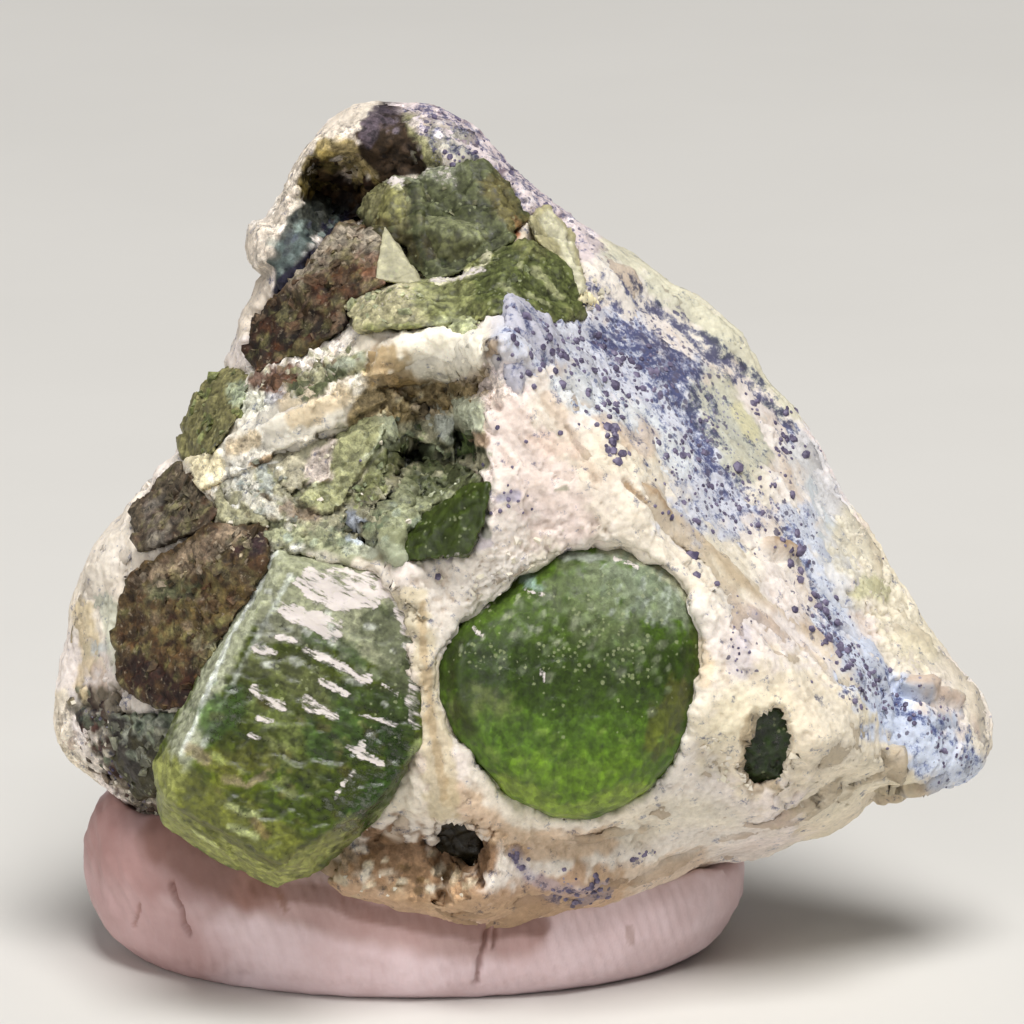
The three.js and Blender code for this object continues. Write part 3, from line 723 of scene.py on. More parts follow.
# %% Rough patches
CRUMBLED = [
    (0.5, 34, 0.6, [(262, 510), (330, 520), (430, 480)]),
    (0.5, 20, 0.6, [(390, 400), (480, 400)]),
    (0.7, 26, 0.6, [(270, 385), (340, 375)]),
    (0.5, 34, 0.8, [(112, 745), (150, 795), (118, 700)]),
    (0.3, 22, 0.8, [(420, 600), (470, 588), (540, 548), (600, 535)]),
    (0.4, 26, 0.8, [(850, 540), (875, 590), (900, 640)]),
    (0.25, 26, 0.6, [(385, 840), (440, 862), (490, 850)]),
    (0.1, 30, 0.6, [(330, 870), (400, 890), (480, 895)]),
    (0.3, 36, 0.6, [(320, 195), (345, 225)]),
    (0.22, 26, 0.6, [(430, 120), (500, 180), (560, 235)]),
    (0.12, 14, 0.6, [(260, 240), (296, 160), (345, 112)]),
]
DENTS = [
    (-0.1, 5, 0.9, [(656, 516), (700, 560), (760, 615), (820, 650)]),
    (-0.15, 3, 0.9, [(622, 482), (642, 502), (656, 516)]),
    (-0.12, 4, 0.9, [(566, 430), (584, 462), (592, 482)]),
    (-0.5, 5, 0.3, [(752, 552), (778, 561)]),
    (-0.6, 4, 0.3, [(878, 750), (884, 764)]),
    (-0.6, 7, 0.5, [(895, 684), (915, 694)]),
    (-0.3, 6, 0.4, [(915, 692), (945, 705)]),
    (0.15, 9, 0.8, [(402, 560), (408, 640), (425, 740), (420, 800)]),
    (-0.08, 6, 0.8, [(418, 580), (425, 660), (440, 760)]),
    (0.12, 12, 0.8, [(690, 590), (705, 650), (695, 720)]),
    (-0.3, 6, 0.5, [(253, 262), (262, 275)]),
    (0.5, 16, 0.5, [(258, 240), (262, 258)]),
]
FIBRES = [
    (1.0, 110, 0.4, [(560, 430), (640, 520), (720, 610)]),
    (0.8, 60, 0.4, [(500, 330), (510, 420)]),
    (0.8, 50, 0.4, [(800, 460), (840, 620)]),
]
print("rough patches", len(CRUMBLED), "dents", len(DENTS))

# %% [markdown]
# On the ledge under the crest the stone broke into flat sheets and black hollows. Each is an outline that
# moves away from the viewer, or towards them where its number is below zero.

# %% Sheets and hollows
CARVED = [
    (0.5, FILLED, 0.6, [
        (398, 378), (440, 372), (490, 374), (494, 392), (470, 412), (440, 414), (402, 404), (392, 390),
    ]),
    (-0.35, FILLED, 0.4, [
        (191, 462), (226, 446), (292, 412), (364, 378), (384, 376), (388, 404), (345, 428), (282, 458),
        (206, 490),
    ]),
    (-0.7, FILLED, 0.3, [
        (372, 380), (381, 352), (408, 339), (440, 335), (486, 340), (481, 368), (440, 368), (400, 376),
    ]),
    (-0.4, FILLED, 0.4, [
        (347, 436), (388, 424), (390, 432), (378, 456), (366, 472), (346, 508), (325, 513), (303, 500),
        (318, 484), (333, 478), (333, 456),
    ]),
    (-0.3, FILLED, 0.4, [
        (280, 460), (300, 456), (312, 462), (308, 478), (306, 492), (292, 490), (280, 478),
    ]),
    (-0.35, FILLED, 0.5, [
        (309, 466), (318, 452), (338, 442), (334, 458), (334, 478), (318, 487), (309, 486),
    ]),
    (-0.3, FILLED, 0.5, [
        (236, 470), (262, 466), (280, 480), (300, 504), (304, 520), (280, 520), (250, 508), (236, 490),
    ]),
    (-0.3, FILLED, 0.4, [(222, 503), (248, 500), (272, 522), (268, 530), (240, 526), (222, 514)]),
    (-0.45, FILLED, 0.4, [
        (484, 478), (446, 474), (412, 480), (404, 500), (388, 513), (378, 528), (386, 548), (402, 562),
        (420, 530), (454, 500), (474, 494),
    ]),
    (-0.3, FILLED, 0.5, [(436, 418), (456, 416), (462, 440), (452, 450), (438, 440)]),
    (-0.3, FILLED, 0.4, [(464, 406), (484, 402), (486, 436), (472, 438)]),
    (0.5, 5, 0.5, [(282, 458), (298, 450)]),
    (0.45, 4, 0.5, [(324, 437), (344, 434), (356, 430)]),
    (1.4, FILLED, 0.9, [
        (391, 453), (410, 441), (426, 443), (437, 455), (446, 466), (440, 472), (418, 474), (400, 485),
        (391, 478),
    ]),
    (1.0, FILLED, 0.6, [
        (400, 487), (407, 488), (404, 497), (396, 507), (384, 515), (378, 512), (384, 503), (393, 498),
    ]),
    (0.9, FILLED, 0.7, [
        (457, 424), (464, 424), (474, 440), (479, 454), (474, 466), (463, 476), (457, 468), (455, 440),
    ]),
    (1.0, FILLED, 0.5, [(351, 511), (357, 512), (358, 534), (352, 535)]),
    (1.0, FILLED, 0.5, [(359, 526), (381, 528), (370, 542), (361, 535)]),
    (0.6, FILLED, 0.5, [(420, 408), (434, 408), (430, 420), (422, 418)]),
    (0.5, FILLED, 0.5, [(300, 490), (306, 488), (305, 497), (300, 497)]),
    (1.2, FILLED, 0.7, [
        (748, 706), (778, 700), (787, 730), (780, 752), (768, 776), (745, 784), (736, 764), (742, 734),
    ]),
    (1.0, 20, 0.7, [(450, 836), (472, 832)]),
    (0.7, FILLED, 1.2, [
        (300, 172), (318, 160), (345, 176), (372, 184), (384, 196), (366, 230), (340, 222), (318, 205),
    ]),
    (0.4, 8, 0.5, [(493, 352), (494, 410)]),
]
LIP = [
    (300, 882, 0.0), (345, 886, 1.2), (400, 890, 1.5), (450, 892, 1.45), (500, 892, 1.1),
    (550, 890, 0.95), (600, 884, 1.0), (650, 874, 0.6), (710, 866, 0.0),
]
down_and_out = (face_to_world.to_3x3() @ Vector((0, -0.8, -1))) / MM


def carve(obj):
    """Moves the sheets and hollows along the line of sight, and the lower lip out over the putty."""
    points = to_face(obj)
    front = front_share(points)
    edge_noise = 0.8 * noise_at(points, 0.7, 3.1) + 0.6 * noise_at(points, 0.35, 5.7)
    depth = covered(points, CARVED, edge_noise, front)
    carved = get(obj, "co") - np.outer(depth, np.array(towards_viewer)) * MM
    lip_x, lip_z = np.transpose([on_face(px, py) for px, py, sag in LIP])
    above = points[:, 2] - np.interp(points[:, 0], lip_x, lip_z)
    sagging = np.interp(points[:, 0], lip_x, [sag for px, py, sag in LIP])
    sagging *= 1 - smoothstep(above, 1.2, 2.3)
    carved += np.outer(front * sagging, np.array(down_and_out)) * MM
    obj.data.vertices.foreach_set("co", carved.ravel())
    obj.data.update()
    print(obj.name, "carved", round(depth.min(), 2), "to", round(depth.max(), 2), "mm")


# %% [markdown]
# The relief of chalk is broken at every size, from flats of 3 mm down to crumbs of 0.2 mm, so chips and
# noise of several sizes are added up, each smaller one with less height.


# %% Chalk relief
def chalk_relief(obj, points, front, edge_noise):
    """The height of the broken chalk at each vertex, in millimetres."""
    coarse, middling = noise_at(points, 1.6), noise_at(points, 0.7, 3.1)
    fine = noise_at(points, 0.2, 4.4)
    bent = points + np.stack([0.5 * middling, 0.4 * coarse, 0.3 * fine - 0.4 * middling], axis=1)
    nearness = np.array([crystal_tree.find_nearest(place)[3] for place in get(obj, "co").tolist()]) / MM
    rim = 1 - smoothstep(nearness, 0.3, 1.1)
    worn = 0.35 + 0.65 * smoothstep(noise_at(points, 6.0, 9.0), -0.2, 0.3)
    crumbled = covered(points, CRUMBLED, edge_noise, front) + 0.06 * rim + 0.5 * (1 - front) * worn
    crumbled = np.clip(crumbled, 0, 1)
    down_right = np.array([0.68, 0, -0.73])
    drawn_out = points - 0.8 * np.outer(points @ down_right, down_right)
    fibres = covered(points, FIBRES, edge_noise, front)
    fibres = fibres * (noise_at(drawn_out, 0.45, 2.2) + 0.6 * noise_at(drawn_out, 0.22, 7.2))
    relief = 0.12 * coarse + 0.06 * middling * worn + covered(points, DENTS, edge_noise, front)
    relief += 0.09 * fibres + 0.05 * worn * noise_at(points, 0.45, 14.0) + 0.04 * fine
    relief += 0.1 * chips(bent, 3.2, 4.0) + 0.07 * worn * chips(bent, 1.1, 6.0)
    relief += rim * (0.12 + 0.25 * np.maximum(middling, 0) + 0.15 * noise_at(drawn_out, 0.35, 3.3))
    broken = 0.08 * middling + 0.4 * chips(bent, 0.8, 1.7) + 0.25 * chips(points, 0.4, 8.0)
    return relief + crumbled * broken


# %% [markdown]
# The stains are minerals too: yellow and brown where iron has seeped in, green where the stone has turned
# to serpentine, and slate blue where fine dark grains crowd together. Other washes are painted shade: in
# the hole at the right, in the crushed corner at the lower left, under the crest and block of the ledge,
# in its black hollow and grooves, and in the cave and the teal hollow below the peak.

# %% Paint the lump
WASHES = [
    ("#E6D9B4", 0.5, 70, 0.5, [(760, 720), (860, 740), (850, 800)]),
    ("#E2D4B8", 0.4, 50, 0.7, [(540, 440), (620, 500), (700, 560)]),
    ("#C8C6CC", 0.9, 26, 0.5, [(504, 298), (515, 330), (515, 370)]),
    ("#CFD4E4", 0.8, 44, 0.8, [(545, 330), (600, 365), (660, 405), (700, 450), (705, 500)]),
    ("#E0E3E4", 0.8, 14, 0.6, [(560, 390), (620, 420), (670, 470)]),
    ("#D3CFB6", 0.85, 18, 0.7, [(600, 240), (650, 270), (710, 320), (760, 370), (790, 405)]),
    ("#E4D2CE", 0.8, 16, 0.5, [(808, 440), (834, 480), (862, 530)]),
    ("#C6C4AC", 0.8, 22, 0.8, [(705, 400), (725, 430), (740, 465)]),
    ("#DCD4AC", 0.8, 9, 0.7, [(728, 418), (740, 440)]),
    ("#8CA3AC", 0.8, 6, 0.8, [(800, 488), (812, 515), (820, 535)]),
    ("#DADCDE", 0.7, 26, 0.8, [(800, 450), (830, 520), (830, 600)]),
    ("#D3DAEA", 0.8, 16, 0.8, [(786, 520), (806, 565), (822, 610), (842, 650)]),
    ("#D6DEF0", 0.9, 26, 0.8, [(850, 664), (885, 705), (920, 745)]),
    ("#D4DDF0", 0.9, 32, 0.7, [(895, 722), (935, 750), (965, 778)]),
    ("#ECE0CC", 0.9, 16, 0.7, [(890, 650), (930, 668), (968, 700), (984, 740)]),
    ("#E9DEC0", 0.7, 30, 0.7, [(850, 540), (890, 600), (920, 640)]),
    ("#C6C492", 0.6, 9, 0.8, [(858, 588), (878, 594)]),
    ("#E6D2CC", 0.6, 34, 0.9, [(500, 400), (520, 460), (560, 520)]),
    ("#D9C4B0", 0.6, 8, 0.9, [(548, 400), (566, 430), (584, 462), (592, 482)]),
    ("#C8AC92", 0.6, 11, 1.0, [(600, 425), (625, 440), (640, 452)]),
    ("#DCC4B4", 0.6, 9, 1.0, [(540, 442), (560, 452), (575, 450)]),
    ("#B08E68", 0.7, 2.5, 0.9, [(624, 484), (642, 500), (656, 516)]),
    ("#D6BE9C", 0.5, 3, 0.9, [(656, 516), (720, 580), (765, 615), (820, 665)]),
    ("#9E9CB4", 0.7, 5, 1.0, [(503, 498), (516, 496)]),
    ("#7C8068", 0.7, 3, 0.9, [(554, 491), (564, 489)]),
    ("#B08E68", 0.7, 3, 0.9, [(758, 552), (780, 560)]),
    ("#B4ABB4", 0.7, 6, 1.0, [(452, 556), (470, 546), (486, 540)]),
    ("#7E8072", 0.8, 5, 0.9, [(484, 516), (488, 532)]),
    ("#C2C8C4", 0.8, 7, 0.7, [(96, 652), (112, 644), (128, 634)]),
    # Partly painted shade: the crushed corner at the lower left is painted darker than its own grey-green,
    # here, on the next line and on the two dark lines further down.
    ("#8E8C80", 0.8, 11, 0.9, [(84, 700), (92, 716)]),
    ("#8A7670", 0.8, 12, 0.9, [(126, 764), (146, 786)]),
    ("#D8BE94", 0.5, 8, 0.8, [(697, 640), (702, 680)]),
    ("#ECE0D0", 0.8, 55, 0.5, [(120, 520), (110, 590)]),
    ("#C9CDB8", 0.7, 14, 0.7, [(115, 605), (130, 660)]),
    ("#D8C08C", 0.6, 12, 0.8, [(85, 610), (95, 660), (85, 690)]),
    # Partly painted shade of the crushed corner, over its own grey-green and brown.
    ("#6A6250", 0.9, 28, 0.9, [(112, 710), (130, 760), (160, 796)]),
    ("#43302C", 0.9, 9, 1.0, [(102, 694), (108, 730), (112, 752), (140, 784)]),
    ("#E6D9C2", 0.8, 12, 0.5, [(62, 700), (60, 740), (90, 790)]),
    ("#7A5630", 0.9, 30, 0.9, [(385, 845), (430, 865), (485, 850)]),
    ("#94714C", 0.7, 14, 0.9, [(300, 880), (360, 850)]),
    ("#B4906F", 0.85, 30, 0.8, [(330, 895), (420, 905), (520, 900), (600, 890)]),
    ("#CDB092", 0.6, 22, 0.5, [(600, 884), (650, 872), (690, 862)]),
    ("#CDAE8C", 0.7, 16, 0.6, [(460, 790), (520, 840), (600, 835)]),
    ("#C6B894", 0.7, 16, 0.8, [(416, 600), (428, 700), (446, 800)]),
    ("#B59C76", 0.6, 4, 1.0, [(424, 600), (426, 650), (434, 720), (446, 790)]),
    ("#E8D9CC", 0.8, 6, 0.9, [(412, 640), (414, 700), (424, 760)]),
    ("#A79CAE", 0.5, 7, 0.9, [(512, 848), (530, 870), (560, 884), (605, 882)]),
    ("#BFA07E", 0.5, 14, 0.7, [(400, 884), (440, 894), (500, 902), (560, 900)]),
    ("#C9C2CE", 0.5, 12, 0.9, [(738, 630), (735, 665)]),
    # Painted shade: the inside of the hole at the right is painted near-black green.
    ("#1E2818", 0.9, FILLED, 0.7, [
        (750, 708), (776, 704), (784, 730), (778, 750), (766, 772), (746, 780), (740, 762), (745, 734),
    ]),
    ("#A08A68", 0.6, 5, 0.9, [(742, 712), (738, 760), (746, 784), (772, 778)]),
]
LEDGE = [
    ("#8F8C72", 0.95, FILLED, 0.8, [
        (222, 492), (262, 462), (345, 426), (395, 418), (484, 402), (488, 470), (446, 520), (404, 566),
        (280, 540), (218, 516),
    ]),
    # Painted shade: the brown under the crest stands for its shadow, over the stone's own tan.
    ("#97886C", 0.9, FILLED, 0.8, [
        (346, 396), (398, 376), (470, 380), (484, 404), (440, 420), (396, 424), (350, 430),
    ]),
    ("#ECE5D6", 1.0, FILLED, 0.5, [
        (191, 462), (226, 447), (240, 432), (236, 400), (262, 392), (292, 410), (330, 397), (364, 376),
        (384, 376), (362, 398), (345, 428), (322, 440), (282, 460), (240, 474), (206, 490),
    ]),
    ("#EADDB6", 0.9, FILLED, 0.5, [(191, 462), (226, 447), (232, 470), (225, 486), (206, 490)]),
    ("#C6C8B6", 0.7, 10, 0.8, [(250, 404), (268, 402)]),
    ("#A9A8B4", 0.6, 7, 0.8, [(278, 402), (292, 408)]),
    ("#CFB892", 0.7, 8, 0.9, [(240, 452), (256, 440)]),
    ("#B4946E", 0.8, 4, 0.9, [(256, 466), (276, 460)]),
    ("#D2BC96", 0.7, 12, 0.8, [(300, 420), (330, 408), (350, 398)]),
    # Painted shade: these two dark lines lie in the grooves carved under the crest.
    ("#7A6846", 0.9, 4, 0.8, [(281, 457), (298, 450)]),
    ("#5E5236", 0.9, 4, 0.8, [(324, 437), (344, 434), (356, 430)]),
    # Painted shade under the bright block: this brown and the next two washes stand for its shadow, over
    # honey-brown stone.
    ("#80704A", 0.7, 16, 1.0, [(362, 414), (392, 396), (400, 412)]),
    ("#7C6C4A", 0.85, FILLED, 1.0, [
        (404, 392), (440, 376), (470, 370), (490, 372), (494, 392), (470, 412), (440, 414), (410, 404),
    ]),
    ("#A48E62", 0.8, 9, 0.8, [(404, 380), (446, 374)]),
    ("#FAF2DF", 1.0, FILLED, 0.5, [
        (384, 364), (392, 348), (408, 339), (440, 334), (488, 338), (482, 368), (452, 372), (430, 366),
        (408, 370),
    ]),
    # The honey-brown at the block's left foot is partly painted shade, and the tan-grey facet at its right
    # end is painted shade.
    ("#A68A58", 0.8, 15, 0.9, [(380, 376), (392, 362), (402, 372)]),
    ("#A08A6C", 0.8, FILLED, 0.9, [(488, 346), (498, 346), (498, 362), (489, 360)]),
    ("#DCD3B6", 0.95, FILLED, 0.5, [(414, 387), (430, 379), (443, 378), (436, 384), (420, 389)]),
    ("#A9AEA6", 0.85, FILLED, 0.8, [(436, 418), (456, 416), (462, 440), (452, 450), (438, 440)]),
    ("#C2C7AE", 0.9, FILLED, 0.6, [(464, 406), (484, 402), (486, 432), (472, 436)]),
    ("#A58C76", 0.8, 7, 0.9, [(474, 440), (486, 444)]),
    ("#93946E", 0.95, FILLED, 0.6, [
        (347, 436), (388, 424), (390, 432), (378, 456), (366, 472), (346, 508), (325, 513), (303, 500),
        (318, 484), (333, 478), (333, 456),
    ]),
    ("#C4C9AA", 0.9, 4, 0.5, [(388, 428), (384, 446), (376, 457)]),
    ("#CDD1BC", 0.9, 3, 0.5, [(370, 457), (372, 463)]),
    ("#7A7E52", 0.85, FILLED, 0.8, [
        (380, 456), (394, 440), (394, 480), (380, 500), (352, 512), (366, 476),
    ]),
    ("#A6A08A", 0.95, FILLED, 0.4, [
        (280, 460), (300, 456), (312, 462), (308, 478), (306, 492), (292, 490), (280, 478),
    ]),
    ("#C2B5AB", 0.95, FILLED, 0.9, [
        (309, 466), (318, 452), (338, 442), (334, 458), (334, 478), (318, 487), (309, 486),
    ]),
    ("#C6C2B4", 0.95, FILLED, 0.9, [
        (236, 470), (258, 466), (262, 482), (300, 504), (304, 520), (280, 520), (250, 508), (236, 490),
    ]),
    ("#A6AAA2", 0.9, FILLED, 0.9, [(260, 468), (278, 466), (280, 484), (276, 500), (262, 494)]),
    ("#8F7C68", 0.8, 7, 0.9, [(290, 506), (306, 514), (320, 516)]),
    ("#A19E80", 0.9, FILLED, 0.9, [(222, 503), (248, 500), (272, 522), (268, 530), (240, 526), (222, 514)]),
    ("#989C7C", 0.8, 16, 0.9, [(290, 536), (330, 540), (350, 552)]),
    ("#8E9272", 0.95, FILLED, 0.8, [
        (484, 478), (446, 474), (412, 480), (404, 500), (388, 513), (378, 528), (386, 548), (402, 562),
        (420, 530), (454, 500), (474, 494),
    ]),
    ("#4E5436", 0.85, 12, 0.9, [(420, 488), (446, 484), (470, 480)]),
    ("#B2B69C", 0.85, 5, 0.7, [(474, 492), (452, 503), (432, 522), (412, 540), (404, 560)]),
    ("#ACB298", 0.85, 10, 0.8, [(388, 544), (398, 558)]),
    ("#B4B8A4", 0.85, 6, 0.8, [(352, 546), (378, 552)]),
    ("#9EA4B0", 0.9, 6, 0.7, [(358, 520), (366, 526)]),
    ("#BAC4CE", 0.9, 3, 0.6, [(352, 538), (364, 541)]),
    # Painted shade: the darker olive round the black hollow, and the near-black of the hollow itself.
    ("#454A30", 0.7, 24, 1.0, [(404, 452), (424, 466), (452, 452)]),
    ("#10120C", 1.0, FILLED, 1.0, [
        (391, 453), (410, 441), (426, 443), (437, 455), (446, 466), (440, 472), (418, 474), (400, 485),
        (391, 478),
    ]),
    ("#465032", 0.8, 5, 0.9, [(430, 449), (440, 458)]),
    ("#8E9484", 0.8, 4, 0.9, [(398, 468), (404, 476)]),
    # Painted shade: the near-black of the hole below the black hollow.
    ("#10161A", 1.0, FILLED, 0.7, [
        (400, 487), (407, 488), (404, 497), (396, 507), (384, 515), (378, 512), (384, 503), (393, 498),
    ]),
    ("#262E1C", 1.0, FILLED, 0.7, [
        (457, 424), (464, 424), (474, 440), (479, 454), (474, 466), (463, 476), (457, 468), (455, 440),
    ]),
    ("#5A6A3C", 0.85, 4, 0.7, [(466, 434), (470, 452)]),
    ("#22222C", 1.0, FILLED, 0.5, [(351, 511), (357, 512), (358, 534), (352, 535)]),
    ("#1E141C", 1.0, FILLED, 0.5, [(359, 526), (381, 528), (370, 542), (361, 535)]),
    ("#1A1E2C", 1.0, FILLED, 0.5, [(420, 408), (434, 408), (430, 420), (422, 418)]),
    ("#1E1E1A", 1.0, FILLED, 0.5, [(300, 490), (306, 488), (305, 497), (300, 497)]),
    ("#5C3A28", 0.9, FILLED, 1.0, [(251, 386), (272, 374), (300, 366), (303, 386), (280, 397)]),
    ("#9C8468", 0.85, 10, 0.9, [(272, 362), (296, 352)]),
    ("#807F5E", 0.9, FILLED, 1.0, [(296, 402), (304, 374), (340, 360), (372, 352), (370, 372), (330, 394)]),
    ("#B2B8A4", 0.8, 8, 0.8, [(338, 372), (362, 362)]),
    ("#4C5436", 0.85, 5, 0.9, [(304, 400), (330, 388), (346, 376)]),
]
PEAK = [
    ("#D6CABB", 1.0, FILLED, 0.7, [
        (240, 340), (254, 280), (250, 240), (270, 222), (296, 150), (345, 108), (385, 96), (384, 118),
        (362, 142), (330, 148), (304, 170), (298, 200), (282, 230), (276, 290), (258, 340),
    ]),
    # Painted shade: the cave below the peak is near-black brown, with the brown mottles and darkest spot that
    # follow.
    ("#2A1B11", 1.0, FILLED, 1.0, [
        (296, 200), (308, 168), (324, 156), (352, 170), (372, 176), (392, 178), (384, 200), (366, 226),
        (345, 232), (318, 214),
    ]),
    ("#5A432A", 0.8, 7, 1.0, [(320, 180), (336, 196), (330, 210)]),
    ("#6A5636", 0.8, 5, 1.0, [(346, 178), (360, 188), (372, 198)]),
    ("#140C08", 0.8, 8, 1.0, [(340, 206), (360, 214)]),
    ("#5C5028", 0.95, FILLED, 0.9, [
        (296, 200), (300, 168), (316, 150), (340, 158), (322, 172), (308, 200),
    ]),
    ("#8C7C4A", 0.9, 10, 0.8, [(326, 150), (346, 150), (362, 158), (376, 170)]),
    ("#35281B", 1.0, FILLED, 1.0, [
        (356, 136), (372, 118), (408, 108), (422, 140), (434, 162), (420, 176), (384, 180), (364, 160),
    ]),
    ("#524850", 0.95, FILLED, 1.0, [
        (362, 124), (374, 104), (396, 100), (412, 106), (408, 120), (384, 132), (372, 150), (360, 146),
    ]),
    ("#A6A29E", 0.8, 3, 0.8, [(380, 106), (390, 104)]),
    ("#8E8C66", 0.9, 9, 0.8, [(414, 124), (424, 146), (436, 160)]),
    # The dark teal patch lies in a shaded hollow: its teal is the stone's own, darkened by painted shade, and
    # the near-black strip after it is painted shade.
    ("#40453F", 0.97, FILLED, 0.8, [
        (282, 236), (296, 206), (322, 196), (344, 208), (336, 216), (312, 244), (280, 292), (274, 262),
    ]),
    ("#4F5C5A", 0.8, 12, 0.9, [(290, 250), (306, 240), (286, 270)]),
    ("#201E2E", 1.0, FILLED, 0.8, [
        (276, 292), (284, 274), (304, 262), (320, 238), (322, 224), (346, 212), (350, 232), (330, 250),
        (296, 296), (280, 298),
    ]),
    ("#D8C9CA", 0.95, 24, 0.6, [(420, 104), (470, 140), (530, 200), (580, 245)]),
    ("#A09E90", 0.8, 9, 0.9, [(436, 138), (460, 156), (484, 176)]),
    ("#96946E", 0.85, 7, 0.9, [(456, 166), (490, 196), (510, 212)]),
    ("#9A7E50", 0.8, 6, 0.7, [(500, 206), (526, 228)]),
    ("#E0D0BC", 0.9, 6, 0.6, [(486, 258), (520, 240)]),
    ("#A9653C", 0.9, 4, 0.7, [(502, 250), (516, 240)]),
]
PEPPER = [
    (0.35, 40, 0.8, [(545, 335), (610, 370), (665, 410), (700, 455), (705, 500)]),
    (0.6, 26, 0.7, [(640, 330), (690, 400), (700, 450)]),
    (0.35, 30, 0.7, [(720, 490), (760, 510)]),
    (0.5, 18, 0.7, [(785, 530), (800, 580), (825, 640), (850, 680)]),
    (0.2, 26, 0.8, [(860, 680), (920, 730), (975, 778)]),
    (0.4, 22, 0.7, [(430, 120), (500, 180), (570, 240)]),
    (0.25, 10, 0.8, [(515, 850), (560, 884), (605, 882)]),
    (0.12, 16, 0.8, [(735, 620), (735, 660)]),
    (0.12, 22, 0.8, [(120, 720), (150, 790)]),
    (0.35, 20, 0.8, [(508, 310), (530, 330)]),
]
SLATE = [
    (0.7, 16, 0.8, [(605, 345), (645, 362)]),
    (0.6, 13, 0.8, [(650, 355), (675, 375)]),
    (0.9, 18, 0.8, [(655, 370), (678, 400), (690, 430), (697, 460)]),
    (0.75, 14, 0.6, [(650, 315), (700, 345), (745, 380), (785, 430)]),
    (0.5, 8, 0.6, [(625, 285), (650, 315)]),
    (0.6, 8, 0.7, [(685, 345), (722, 385)]),
    (0.2, 50, 0.9, [(560, 340), (620, 380), (680, 440), (710, 500)]),
    (0.5, 11, 0.8, [(785, 530), (805, 590), (835, 650)]),
    (0.15, 36, 0.9, [(860, 690), (920, 735), (975, 775)]),
    (0.3, 6, 0.9, [(875, 690), (930, 725), (975, 760)]),
    (0.4, 24, 0.9, [(430, 110), (490, 170), (560, 230)]),
    (0.25, 6, 0.9, [(515, 850), (545, 880), (605, 882)]),
    (0.3, 4, 0.9, [(628, 860), (650, 845)]),
    (0.25, 20, 0.9, [(115, 720), (145, 785)]),
    (0.2, 18, 0.9, [(725, 485), (755, 515)]),
    (0.3, 16, 0.9, [(580, 280), (615, 300)]),
]
MOTTLED = [
    (1.0, 60, 0.5, [(310, 180), (350, 190), (400, 150)]),
    (0.7, 34, 0.5, [(285, 260), (330, 220)]),
    (0.85, 64, 0.6, [(240, 500), (330, 500), (430, 470)]),
    (0.9, 26, 0.6, [(370, 405), (400, 395), (490, 395)]),
    (0.8, 30, 0.6, [(270, 385), (345, 370)]),
    (0.7, 46, 0.6, [(90, 740), (150, 800)]),
    (0.5, 30, 0.6, [(370, 850), (430, 866), (490, 850)]),
    (1.0, 22, 0.6, [(762, 730), (758, 760)]),
]
WAXY = [
    (0.9, 60, 0.6, [(230, 500), (330, 470), (440, 520)]),
    (0.7, 30, 0.5, [(795, 440), (830, 580)]),
    (0.6, 24, 0.5, [(600, 240), (700, 310), (790, 400)]),
    (0.7, 34, 0.5, [(280, 270), (330, 210)]),
    (0.6, 30, 0.5, [(700, 400), (740, 460)]),
]
FLECK_PATCHES = [
    (
        50, ["#D9D7CE", "#9FA8A4", "#5A4E3C", "#A8A884", "#E6E2D6"],
        3, 14, [(236, 480), (270, 500), (310, 530)], -30,
    ),
    # The flecks under the block mottle its painted shade.
    (24, ["#5E5236", "#A89A76", "#3E3626", "#C4BC9C"], 3, 7, [(370, 408), (430, 402), (484, 396)], 10),
    # Flecks in and round the black hollow, the darkest of them painted shade.
    (44, ["#2A2E1C", "#5E6A44", "#8A9276", "#14160E"], 3, 12, [(404, 440), (440, 462), (474, 460)], -20),
    (30, ["#6C7860", "#A9B29A", "#5C6248"], 3, 9, [(300, 550), (350, 530), (400, 530), (450, 492)], 40),
    (20, ["#7C7E58", "#B4B694", "#6A6A46"], 3, 10, [(330, 500), (360, 460), (385, 440)], 50),
    (34, ["#5C3A28", "#8A8A66", "#C8C4AC", "#3E3A22"], 3, 9, [(256, 388), (300, 376), (360, 362)], 20),
    # Flecks in the cave mottle its painted shade.
    (40, ["#5A4630", "#8A7A4C", "#1A100A", "#3A2A1C"], 3.5, 11, [(310, 190), (340, 175), (372, 200)], 20),
    (24, ["#6E646C", "#20160F", "#4C3E34"], 3.5, 10, [(372, 128), (396, 118), (412, 158)], 60),
    (
        90, ["#74646E", "#8E808A", "#5E5460", "#F0E6E6"],
        3, 11, [(424, 108), (470, 140), (530, 205), (570, 240)], -40,
    ),
    (24, ["#3A3C50", "#7A8680", "#2E3438"], 3.5, 9, [(324, 214), (300, 240), (286, 284)], 60),
    (44, ["#4A2A26", "#A8A294", "#6C7462", "#2E2A28"], 3.5, 12, [(100, 700), (112, 745), (150, 790)], -60),
    (40, ["#66502F", "#C4B294", "#56442A", "#D4C8B0"], 4, 12, [(320, 880), (400, 866), (480, 862)], 10),
]
FLECKS = [wash for patch in FLECK_PATCHES for wash in flecks(*patch)]
print(len(WASHES) + len(LEDGE) + len(PEAK) + len(FLECKS), "washes")


# %% Chalk finish
CREAM, PINK, WARM, COOL = (np.array(linear(code)) for code in ("#EBE2D7", "#E9DAD6", "#E9DFC8", "#D9DEE6"))


